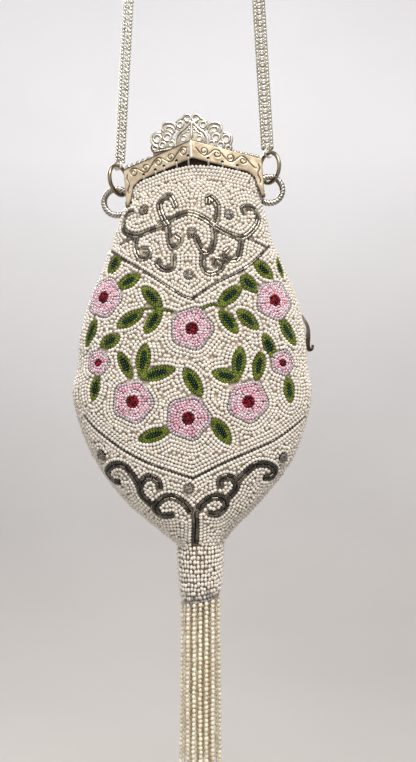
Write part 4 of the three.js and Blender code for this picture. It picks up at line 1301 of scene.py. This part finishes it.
# The crown. A cast filigree crest soldered upright on the back half's roof: raised bands that roll up
# in scrolls round a bell, on both faces, and a row of scallops down the roof to either corner.
CROWN_SHIFT = np.array([-0.46 * MM, 0.0, FRAME_CORNERS])
CROWN_FRONT, CROWN_BACK = 0.6 * MM, 2.2 * MM
CROWN_BANDS = [
    # the width of each band, and its points across and up from the frame's corners, on the right half
    (1.2, [(8.0, 22.6), (6.2, 23.7), (4.7, 24.6), (3.6, 25.8), (2.0, 26.5), (0.5, 25.5), (0.5, 23.9),
           (1.9, 23.0), (3.3, 23.9), (3.0, 24.9)]),
    (1.2, [(7.9, 19.4), (8.8, 21.6), (11.6, 22.5), (14.3, 21.5), (14.9, 19.2), (13.8, 17.4)]),
    (1.0, [(8.4, 17.6), (9.2, 19.6), (11.6, 20.5), (13.2, 19.4), (12.6, 18.1)]),
    (0.9, [(9.2, 16.6), (10.6, 18.0), (12.2, 17.9)]),
    (1.2, [(15.0, 17.4), (17.6, 17.2), (19.9, 15.6), (20.0, 13.2), (18.8, 11.0), (16.8, 10.0)]),
    (1.3, [(0.6, 23.6), (1.4, 21.8), (3.6, 19.4), (6.3, 17.3), (7.8, 14.8), (8.0, 12.0), (7.8, 9.4)]),
    (0.9, [(0.9, 20.6), (2.9, 17.8), (5.2, 16.4), (6.2, 14.4), (6.2, 12.2)]),
    (1.1, [(8.6, 9.6), (13.6, 8.7), (19.2, 7.6)]),
]
CROWN_HOOPS = [
    # across and up from the frame's corners, and the radius and width of a round band
    (5.8, 21.4, 1.5, 1.0),
    (17.2, 14.4, 1.9, 1.1),
    (12.2, 15.0, 1.8, 1.1),
    (10.0, 11.9, 1.35, 0.9),
    (14.6, 11.2, 1.5, 1.0),
    (18.2, 9.8, 1.3, 0.9),
    (1.6, 18.6, 0.95, 0.6),
    (4.0, 14.6, 1.35, 0.7),
]
RIDGE_FOOT, RIDGE_TOP, RIDGE_WIDTH = 14.6 * MM, 23.4 * MM, 1.5 * MM  # the line down the middle of the bell
RAIL_FIRST, RAIL_LAST, RAIL_PITCH = 21.5 * MM, 33 * MM, 2.7 * MM  # the scallops on the roof
RAIL_HEIGHT = 2.5 * MM
SCALLOP_RADIUS, SCALLOP_WIDTH = 0.75 * MM, 0.8 * MM
BAND_RISE = 0.45  # height of a band over the face, as a share of its width
BAND_STEPS = 44
BAND_SIDES = 12
TIP_POWER, EDGE_POWER = 8, 4  # how suddenly a band narrows at its ends and its painted shade darkens at its edges
SHORT_OF_END = 0.001  # keeps the last place of a line within its last span
BAND_TIP = 0.25  # share of the width left at the two ends
crown_parts, crown_edge_shade = [], []


def smooth_line(points, steps):
    """A smooth line through a few points across and up, in metres."""
    knots = np.array([points[0], *points, points[-1]], dtype=float) * MM
    place = np.linspace(0, len(points) - 1 - SHORT_OF_END, steps)
    k = place.astype(int)
    t = (place - k)[:, None]
    return curve(knots[k], knots[k + 1], knots[k + 2], knots[k + 3], t)


def crown_band(line, width, face_y, closed=False, on_crown=True):
    """A raised band along a line on one face, with painted shade where its edges meet the face."""
    ways = np.roll(line, -1, axis=0) - np.roll(line, 1, axis=0) if closed else np.gradient(line, axis=0)
    ways = ways / np.linalg.norm(ways, axis=1, keepdims=True)
    along = np.linspace(-1, 1, len(line))
    taper = np.ones(len(line)) if closed else np.clip(np.sqrt(1 - along**TIP_POWER), BAND_TIP, 1)
    turn = 2 * math.pi * np.arange(BAND_SIDES) / BAND_SIDES
    reach = np.outer(taper, np.cos(turn)) * width / 2
    rise = np.outer(taper, np.sin(turn)) * width * BAND_RISE
    corners = np.stack([line[:, :1] - ways[:, 1:] * reach, face_y + rise,
                        line[:, 1:] + ways[:, :1] * reach], axis=2)
    corners = corners + CROWN_SHIFT if on_crown else from_frame(corners)
    crown_parts.append((corners.reshape(-1, 3), grid_faces(len(line), BAND_SIDES, wrap=True, closed=closed)))
    crown_edge_shade.append(np.broadcast_to(np.cos(turn) ** EDGE_POWER, reach.shape).ravel())


def round_line(x, z, radius):
    turn = np.linspace(0, 2 * math.pi, BAND_STEPS, endpoint=False)
    return np.stack([x + radius * np.cos(turn), z + radius * np.sin(turn)], axis=1)


ridge = np.stack([np.zeros(BAND_STEPS), np.linspace(RIDGE_FOOT, RIDGE_TOP, BAND_STEPS)], axis=1)
for face_y in (CROWN_FRONT, CROWN_BACK):
    for mirror in (1, -1):
        for width, points in CROWN_BANDS:
            crown_band(smooth_line(points, BAND_STEPS) * (mirror, 1), width * MM, face_y)
        for x, z, radius, width in np.array(CROWN_HOOPS) * MM:
            crown_band(round_line(mirror * x, z, radius), width, face_y, closed=True)
        for x in np.arange(RAIL_FIRST, RAIL_LAST, RAIL_PITCH):
            scallop = round_line(mirror * x, float(roof_top(x)) + RAIL_HEIGHT, SCALLOP_RADIUS)
            crown_band(scallop, SCALLOP_WIDTH, face_y, closed=True, on_crown=False)
    crown_band(ridge, RIDGE_WIDTH, face_y)
# The crown's bands carry painted shade where their edges meet the face.
cast_gilt = aged_metal("pale_cast_gilt", dark=(0.76, 0.71, 0.60), light=(0.97, 0.94, 0.84), roughness=0.32,
                       patina_and_shade="patina_and_shade", patina_and_shade_tone=(0.17, 0.135, 0.09))
filigree_mesh = smooth_mesh("crown_filigree", *joined(crown_parts))
share_on(filigree_mesh, "patina_and_shade", np.concatenate(crown_edge_shade))
bag_piece("crown_filigree", filigree_mesh, cast_gilt)

# The ears. A stout rod twisted like rope, bent round and soldered by its two ends to each side of the
# back half, to carry the ring of the chain.
EAR_OUT = {-1: 39.5 * MM, 1: 37.6 * MM}  # how far out the middle of each ear is, left and right
EAR_Y, EAR_Z = 3.8 * MM, -13 * MM
EAR_RADIUS = 6.6 * MM
EAR_WIRE = 1.3 * MM
ROPE_LOBE = 0.25 * MM
ROPE_STRANDS = 4
ROPE_TURN = 6.0 * MM  # along the rod for one full turn of the twist
EAR_STEPS = 210
EAR_SIDES = 24
HOLLOW_DARK, HOLLOW_FADE = 1.15, 1.5  # darkening between the strands, and how fast it ends
WALL_MIDDLE = HALF_WIDTH - 0.6 * MM
rope_parts, rope_hollow_dark = [], []
for mirror in (1, -1):
    half_arc = math.acos((WALL_MIDDLE - EAR_OUT[mirror]) / EAR_RADIUS)
    angle = np.linspace(half_arc, -half_arc, EAR_STEPS)
    travel = (half_arc - angle) * EAR_RADIUS
    round_rod = 2 * math.pi * np.arange(EAR_SIDES) / EAR_SIDES
    lobes = np.abs(np.sin(ROPE_STRANDS / 2 * (round_rod - 2 * math.pi * travel[:, None] / ROPE_TURN)))
    radius = EAR_WIRE + ROPE_LOBE * np.sqrt(lobes)
    spoke = EAR_RADIUS + radius * np.cos(round_rod)
    corners = np.stack([mirror * (EAR_OUT[mirror] + spoke * np.cos(angle)[:, None]),
                        EAR_Y - radius * np.sin(round_rod), EAR_Z + spoke * np.sin(angle)[:, None]], axis=2)
    faces = grid_faces(EAR_STEPS, EAR_SIDES, wrap=True)
    rope_parts.append((from_frame(corners).reshape(-1, 3), faces if mirror > 0 else faces[:, ::-1]))
    rope_hollow_dark.append(np.clip(HOLLOW_DARK - HOLLOW_FADE * lobes, 0, 1).ravel())
roped_silver = aged_metal("roped_silver", dark=(0.50, 0.46, 0.40), light=(0.78, 0.74, 0.67), roughness=0.28,
                          patina_and_shade="patina_and_shade")
ears_mesh = smooth_mesh("roped_ears", *joined(rope_parts))
share_on(ears_mesh, "patina_and_shade", np.concatenate(rope_hollow_dark))
bag_piece("roped_ears", ears_mesh, roped_silver)

# The jump rings. Plain round rings of dull brass wire, one through each roped ear, that carry the ends
# of the chain. Each is bent from wire and its joint is filed nearly shut.
RING_OUT = {-1: 37.7 * MM, 1: 38.5 * MM}
RING_TURN = {-1: math.radians(58), 1: math.radians(-54)}  # nearly edge-on, the inner side behind the frame
RING_RADIUS = 7.4 * MM
RING_WIRE = 1.0 * MM
RING_GAP = 0.3 * MM
RING_SLACK = 0.2 * MM
RING_CUT = math.radians(3)
RING_STEPS = 84
RING_SIDES = 16
ring_tops = {}
dull_brass = aged_metal("dull_brass", dark=(0.235, 0.19, 0.125), light=(0.45, 0.38, 0.27), roughness=0.32)
for name, mirror in (("left", -1), ("right", 1)):
    way = np.array([math.cos(RING_TURN[mirror]), math.sin(RING_TURN[mirror]), 0.0])
    ear_top = EAR_Z + math.sqrt(EAR_RADIUS**2 - (RING_OUT[mirror] - EAR_OUT[mirror])**2)
    under = EAR_WIRE + RING_GAP + RING_WIRE + RING_SLACK
    middle = np.array([mirror * RING_OUT[mirror], EAR_Y, ear_top - under + RING_RADIUS])
    turn = np.linspace(RING_CUT / 2, 2 * math.pi - RING_CUT / 2, RING_STEPS) - math.pi / 4
    path = middle + RING_RADIUS * (np.cos(turn)[:, None] * way + np.sin(turn)[:, None] * UPRIGHT)
    wire_name = f"jump_ring_{name}_wire"
    wire_mesh = smooth_mesh(wire_name, *tube(from_frame(path), RING_WIRE, RING_SIDES))
    bag_piece(wire_name, wire_mesh, dull_brass, stands_for=f"jump_ring_{name}")
    ring_tops[mirror] = (from_frame(middle + RING_RADIUS * UPRIGHT), way)

# The chain. Two columns of slanting rings of pale silver-plated wire, side by side and tied together by small
# loops between them. An eye at each end goes round the jump ring; the middle of the chain hangs on a peg.
CHAIN_WIDTH = 6.6 * MM
CHAIN_THICKNESS = 2.2 * MM
COLUMN_WIDTH = 2.2 * MM
LINK_PITCH = 1.84 * MM
LINK_WIRE = 1.0 * MM
LINK_TILT = 0.75 * MM  # a ring's front is this much above its middle on the right, and below it on the left
LOOP_PITCH = 2.92 * MM
LOOP_REACH = 1.7 * MM  # half the width of a loop
LOOP_WIRE = 0.95 * MM
LINK_STEPS = 14
LINK_SIDES = 6
PEG_RADIUS = 23 * MM  # of the bend over the peg
EYE_RADIUS = 2.1 * MM
EYE_WIRE = 0.6 * MM
FLAT_TURN = {-1: 0.85, 1: 0.1}  # how far the flat side starts turned from the front, left and right
CHAIN_IN = {-1: 1.0 * MM, 1: 0.3 * MM}  # how far inwards of its eye each strand starts
BEND_STEPS, STRAIGHT_STEPS, EYE_STEPS = 40, 120, 32
EYE_SIDES = 8
INSIDE_SHADE = 0.1  # painted shade at the sides of a link's wire, rising towards its inside
TURN_FROM, TURN_TO = 0.35, 0.8  # share of the strand over which the flat side turns to the peg


def chain_path(start, mirror):
    """Points up one strand: straight from its eye to the bend, then over the peg to the top."""
    bend = PEG_RADIUS + CHAIN_THICKNESS / 2
    middle = np.array([0.0, start[1], -PEG_RADIUS])
    reach = middle - start
    lean = math.atan2(abs(reach[0]), reach[2]) - math.asin(bend / math.hypot(reach[0], reach[2]))
    angles = np.linspace(lean, math.pi / 2, BEND_STEPS)
    arc = np.stack([mirror * bend * np.cos(angles), 0 * angles, bend * np.sin(angles)], axis=1) + middle
    straight = start + (arc[0] - start) * np.linspace(0, 1, STRAIGHT_STEPS, endpoint=False)[:, None]
    return np.vstack([straight, arc])


def chain_ring(shift, reach, tilt, wire):
    """One closed ring, along, across and through the chain, and its painted shade: most on its inside."""
    phase = np.linspace(0, 2 * math.pi, LINK_STEPS, endpoint=False)
    path = np.stack([tilt * np.cos(phase), shift + (reach - wire / 2) * np.sin(phase),
                     (CHAIN_THICKNESS - wire) / 2 * np.cos(phase)], axis=1)
    corners, faces = tube(path, wire / 2, LINK_SIDES, closed=True, first=(1.0, 0.0, 0.0))
    middle_line = np.repeat(path, LINK_SIDES, axis=0)
    spoke = (middle_line - (0.0, shift, 0.0)) * (0.0, 1.0, 1.0)
    outwards = ((corners - middle_line) * spoke).sum(axis=1) / np.linalg.norm(spoke, axis=1) / (wire / 2)
    return corners, faces, np.clip(INSIDE_SHADE - outwards, 0, 1)


def chain_copies(name, parts, path, pitch, first_turn, stands_for=None):
    """The same rings set over and over along a path, with the flat side turning to the peg."""
    pattern, faces = joined([part[:2] for part in parts])
    travel = np.concatenate([[0.0], np.cumsum(steps_along(path))])
    count = int(travel[-1] / pitch)
    middles, axes = [], []
    for k in range(count):
        stop = (k + 0.5) * travel[-1] / count
        place, ahead, behind = (np.array([np.interp(s, travel, path[:, d]) for d in range(3)])
                                for s in (stop, stop + MM, stop - MM))
        way = unit(ahead - behind)
        share = min(max((stop / travel[-1] - TURN_FROM) / (TURN_TO - TURN_FROM), 0.0), 1.0)
        turn = first_turn + (math.pi / 2 - first_turn) * share * share * (3 - 2 * share)
        in_plane = np.cross((0.0, 1.0, 0.0), way)
        across_way = in_plane * math.cos(turn) + np.array([0.0, math.sin(turn), 0.0])
        middles.append(place)
        axes.append([way, across_way, np.cross(way, across_way)])
    mesh = copies_mesh(name, pattern, faces, np.array(middles), np.array(axes))
    share_on(mesh, "patina_and_shade", np.tile(np.concatenate([part[2] for part in parts]), count))
    bag_piece(name, mesh, chain_silver, stands_for)


# The links carry painted shade on their insides.
chain_silver = aged_metal("pale_silver_plate", dark=(0.74, 0.70, 0.57), light=(0.97, 0.95, 0.84),
                          roughness=0.28, patina_and_shade="patina_and_shade", patina_and_shade_tone=(0.20, 0.17, 0.11))
column_middle = (CHAIN_WIDTH - COLUMN_WIDTH) / 2
for name, mirror in (("left", -1), ("right", 1)):
    ring_top, ring_way = ring_tops[mirror]
    eye_middle = ring_top + UPRIGHT * (EYE_RADIUS - RING_WIRE - RING_GAP - EYE_WIRE)
    start = eye_middle + np.array([-mirror * CHAIN_IN[mirror], 0.0, EYE_RADIUS - EYE_WIRE / 2])
    path = chain_path(start, mirror)
    columns = [chain_ring(side * column_middle, COLUMN_WIDTH / 2, -mirror * LINK_TILT, LINK_WIRE)
               for side in (1, -1)]
    chain_copies(f"chain_{name}_links", columns, path, LINK_PITCH, FLAT_TURN[mirror],
                 stands_for=f"chain_{name}")
    loop = chain_ring(0.0, LOOP_REACH, -mirror * LINK_TILT, LOOP_WIRE)
    chain_copies(f"chain_{name}_loops", [loop], path, LOOP_PITCH, FLAT_TURN[mirror])
    eye_across = np.cross(UPRIGHT, ring_way)
    turn = np.linspace(0, 2 * math.pi, EYE_STEPS, endpoint=False)[:, None]
    eye_path = eye_middle + EYE_RADIUS * (np.cos(turn) * eye_across + np.sin(turn) * UPRIGHT)
    eye = tube(eye_path, EYE_WIRE, EYE_SIDES, closed=True, first=tuple(ring_way))
    bag_piece(f"chain_{name}_eye", smooth_mesh(f"chain_{name}_eye", *eye), chain_silver)

# The tassel's head. A cloth-covered core below the point of the pouch, wound round and round with
# ivory seed beads set one above the other in columns.
TASSEL_X = 4 * MM
HEAD_TOP = FRAME_CORNERS - 187.3 * MM
HEAD_BOTTOM = FRAME_CORNERS - 216 * MM
HEAD_SLANT = 0.17  # rise of the head's lower end for each millimetre to the right
HEAD_TOP_RADIUS = 10.2 * MM
HEAD_BOTTOM_RADIUS = 8.8 * MM
HEAD_SHOULDER = 6 * MM  # the head narrows from here down
HEAD_COLUMNS = 38
HEAD_ROW = 2.15 * MM
CORE_TUCK = 2.4 * MM  # the core turns in at its lower end
CORE_TURN = 2.0 * MM
CORE_ROWS, CORE_SIDES = 20, 48
PLUG = 0.2 * MM  # radius of the closed middle


def head_radius(z):
    return np.interp(z, [HEAD_BOTTOM, HEAD_TOP - HEAD_SHOULDER], [HEAD_BOTTOM_RADIUS, HEAD_TOP_RADIUS])


def slant(x, z):
    """A height moved up to the right, by more towards the head's lower end."""
    share = np.clip((HEAD_TOP - z) / (HEAD_TOP - HEAD_BOTTOM), 0, 1)
    return z + HEAD_SLANT * x * share


def turned_mesh(name, levels, sides):
    """A round piece about the tassel's middle from rows of radius and height, with the slant."""
    turn = np.linspace(0, 2 * math.pi, sides, endpoint=False)
    points = [[(TASSEL_X + r * math.cos(t), r * math.sin(t), slant(r * math.cos(t), z)) for t in turn]
              for r, z in levels]
    return grid_mesh(name, np.array(points)[::-1], wrap=True)


core_rows = [(head_radius(z) - CORE_TUCK * math.exp((HEAD_BOTTOM - z) / CORE_TURN), z)
             for z in np.linspace(HEAD_TOP, HEAD_BOTTOM, CORE_ROWS)]
core_rows = [(PLUG, HEAD_TOP), *core_rows, (PLUG, HEAD_BOTTOM)]
# The core's cotton is painted darker than the pouch's: painted shade in the gaps between the head's beads.
shaded_core_finish = cotton("shaded_core_cotton", dark=(0.28, 0.23, 0.17), light=(0.44, 0.37, 0.28), scale=900.0,
                     roughness=0.85, relief=0.5, depth=0.3 * MM)
bag_piece("tassel_head_core", turned_mesh("tassel_head_core", core_rows, CORE_SIDES), shaded_core_finish,
          stands_for="tassel_head")
HEAD_GREY = (0.46, 0.43, 0.41)
GREY_SHARES = (0.65, 0.40, 0.20)  # of clear grey beads in the last row, the one above it, and the third
HEAD_TUCK = np.array([1.6, 0.7, 0.2]) * MM  # how far the same rows turn in
HEAD_BEAD = 1.8 * MM
HEAD_SIZES, HEAD_LENGTHS, HEAD_SPREAD = (0.92, 1.06), (0.80, 0.93), 0.12
HEAD_TURN, HEAD_LEAN = 0.02, 0.1  # how unevenly the beads stand round the head and lean
HEAD_UP, HEAD_OUT = 0.2 * MM, 0.12 * MM
head_beads = BeadRow()
rows = int((HEAD_TOP - HEAD_BOTTOM) / HEAD_ROW)
for k in range(rows):
    level = HEAD_TOP - (k + 0.5) * (HEAD_TOP - HEAD_BOTTOM) / rows
    from_end = rows - 1 - k
    last_rows = from_end < len(GREY_SHARES)
    radius = float(head_radius(level)) + HEAD_BEAD / 2 - (HEAD_TUCK[from_end] if last_rows else 0.0)
    for j in range(HEAD_COLUMNS):
        t = 2 * math.pi * j / HEAD_COLUMNS + dice.gauss(0, HEAD_TURN)
        out = np.array([math.cos(t), math.sin(t), 0.0])
        z = float(slant(radius * out[0], level)) + dice.gauss(0, HEAD_UP)
        middle = np.array([TASSEL_X, 0.0, z]) + out * (radius + dice.gauss(0, HEAD_OUT))
        grey = last_rows and dice.random() < GREY_SHARES[from_end]
        lean = uneven(HEAD_LEAN)
        tone = HEAD_GREY if grey else SEED_IVORY
        head_beads.sew(middle, UPRIGHT + lean, out, HEAD_BEAD * dice.uniform(*HEAD_SIZES),
                       HEAD_ROW * dice.uniform(*HEAD_LENGTHS), lively(tone, HEAD_SPREAD))
sewn_piece("tassel_head_beads", head_beads, seed_glass, "beaded_cloth")

# The fringe. Long strings of cream seed beads that hang from a small disc under the head: seven across
# the front, six behind them and a few within, each strung on a cotton thread.
FRINGE_TOP = HEAD_BOTTOM - 0.3 * MM
FRINGE_DISC = 1.4 * MM
DISC_RADIUS = 7.2 * MM
STRAND_RISE = 1.1 * MM
FRINGE_END = FRAME_CORNERS - 300 * MM
FRONT_STRANDS = 7
INNER_STRANDS = 6
FRINGE_CIRCLE = 9.0 * MM
INNER_CIRCLE = 4.6 * MM
FRINGE_SPREAD = 0.5 * MM  # further out at the lower end
STRAND_BEAD = 2.3 * MM
STRAND_PITCH = 2.2 * MM
STRAND_SWAY = 0.3 * MM
STRING_RADIUS = 0.25 * MM
STRING_STEPS, STRING_SIDES = 48, 5
SWAY_ACROSS, SWAY_DEEP = 5, 4  # how far a string swings on its way down, in radians
STRAND_SIZES, STRAND_LENGTHS, STRAND_SPREAD = (0.78, 1.08), (0.82, 1.0), 0.18
STRAND_TONES = 0.08
WOBBLE, WOBBLE_LEAN = 0.1 * MM, 0.5
STRAND_SIDES = 10
DISC_SIDES = 40
INNER_START = 0.3  # of a strand's share of the circle
FRINGE_CREAM = (0.93, 0.85, 0.67)
# The strands within are painted a darker tan: painted shade, as the outer strands hang in front of them.
INNER_STRAND_SHADE = (0.56, 0.45, 0.28)
fringe_beads = BeadRow()
strings = []
half_row = (FRONT_STRANDS - 1) / 2
strand_turns = [(FRINGE_CIRCLE, -math.acos((k - half_row) / half_row)) for k in range(FRONT_STRANDS)]
strand_turns += [(FRINGE_CIRCLE, math.acos((k - half_row + 0.5) / half_row))
                 for k in range(FRONT_STRANDS - 1)]
strand_turns += [(INNER_CIRCLE, 2 * math.pi * (k + INNER_START) / INNER_STRANDS)
                 for k in range(INNER_STRANDS)]
for circle, t in strand_turns:
    swing = dice.uniform(0, 2 * math.pi)
    tone = lively(FRINGE_CREAM if circle == FRINGE_CIRCLE else INNER_STRAND_SHADE, STRAND_TONES)
    fall = np.linspace(0, 1, STRING_STEPS)
    radius = circle + FRINGE_SPREAD * fall
    start = FRINGE_TOP + STRAND_RISE + HEAD_SLANT * circle * math.cos(t)
    sway_x = STRAND_SWAY * np.sin(swing + SWAY_ACROSS * fall) * fall
    sway_y = STRAND_SWAY * np.cos(swing + SWAY_DEEP * fall) * fall
    path = np.stack([TASSEL_X + radius * math.cos(t) + sway_x, radius * math.sin(t) + sway_y,
                     start + (FRINGE_END - start) * fall], axis=1)
    strings.append(tube(path, STRING_RADIUS, STRING_SIDES))
    places, ways = even_steps(path, STRAND_PITCH)
    out = np.array([math.cos(t), math.sin(t), 0.0])
    for place, way in zip(places[:-1], ways):
        way = unit(way)
        wobble = np.array([dice.gauss(0, WOBBLE), dice.gauss(0, WOBBLE), 0.0])
        fringe_beads.sew(place + wobble, way + WOBBLE_LEAN * wobble / MM, unit(out - way * (out @ way)),
                         STRAND_BEAD * dice.uniform(*STRAND_SIZES),
                         STRAND_PITCH * dice.uniform(*STRAND_LENGTHS), lively(tone, STRAND_SPREAD))
cream_glass = bead_finish("cream_fringe_glass", roughness=0.24, coat=0.4)
sewn_piece("tassel_fringe_beads", fringe_beads, cream_glass, "fringe_beads", stands_for="tassel_fringe",
           sides=STRAND_SIDES)
bag_piece("fringe_strings", smooth_mesh("fringe_strings", *joined(strings)), cotton_finish)
disc_foot = FRINGE_TOP - FRINGE_DISC
disc_rows = [(PLUG, FRINGE_TOP), (DISC_RADIUS, FRINGE_TOP), (DISC_RADIUS, disc_foot), (PLUG, disc_foot)]
bag_piece("fringe_disc", turned_mesh("fringe_disc", disc_rows, DISC_SIDES), cloth_finish)

# The side pull. A narrow tongue of bronzed metal with a curled tip, fixed at the right seam. It is
# pale at the top and nearly black towards the tip.
PULL_WEAR, PULL_SEGMENTS = 0.3 * MM, 3
TIP_DARK, TIP_LIGHT = (0.02, 0.014, 0.01), (0.09, 0.065, 0.045)
pull_low, pull_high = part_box("side_pull")
bronze = aged_metal("bronzed_metal", dark=(0.22, 0.165, 0.11), light=(0.50, 0.40, 0.29), roughness=0.34)
recolour(bronze, lambda tree, pale: mix_by_height(
    tree, mottle(tree, TIP_DARK, TIP_LIGHT, METAL_GRAIN, METAL_DETAIL)[0], pale, pull_low[2], pull_high[2]))
finish_solid("side_pull", bronze, worn_edge=PULL_WEAR, segments=PULL_SEGMENTS)
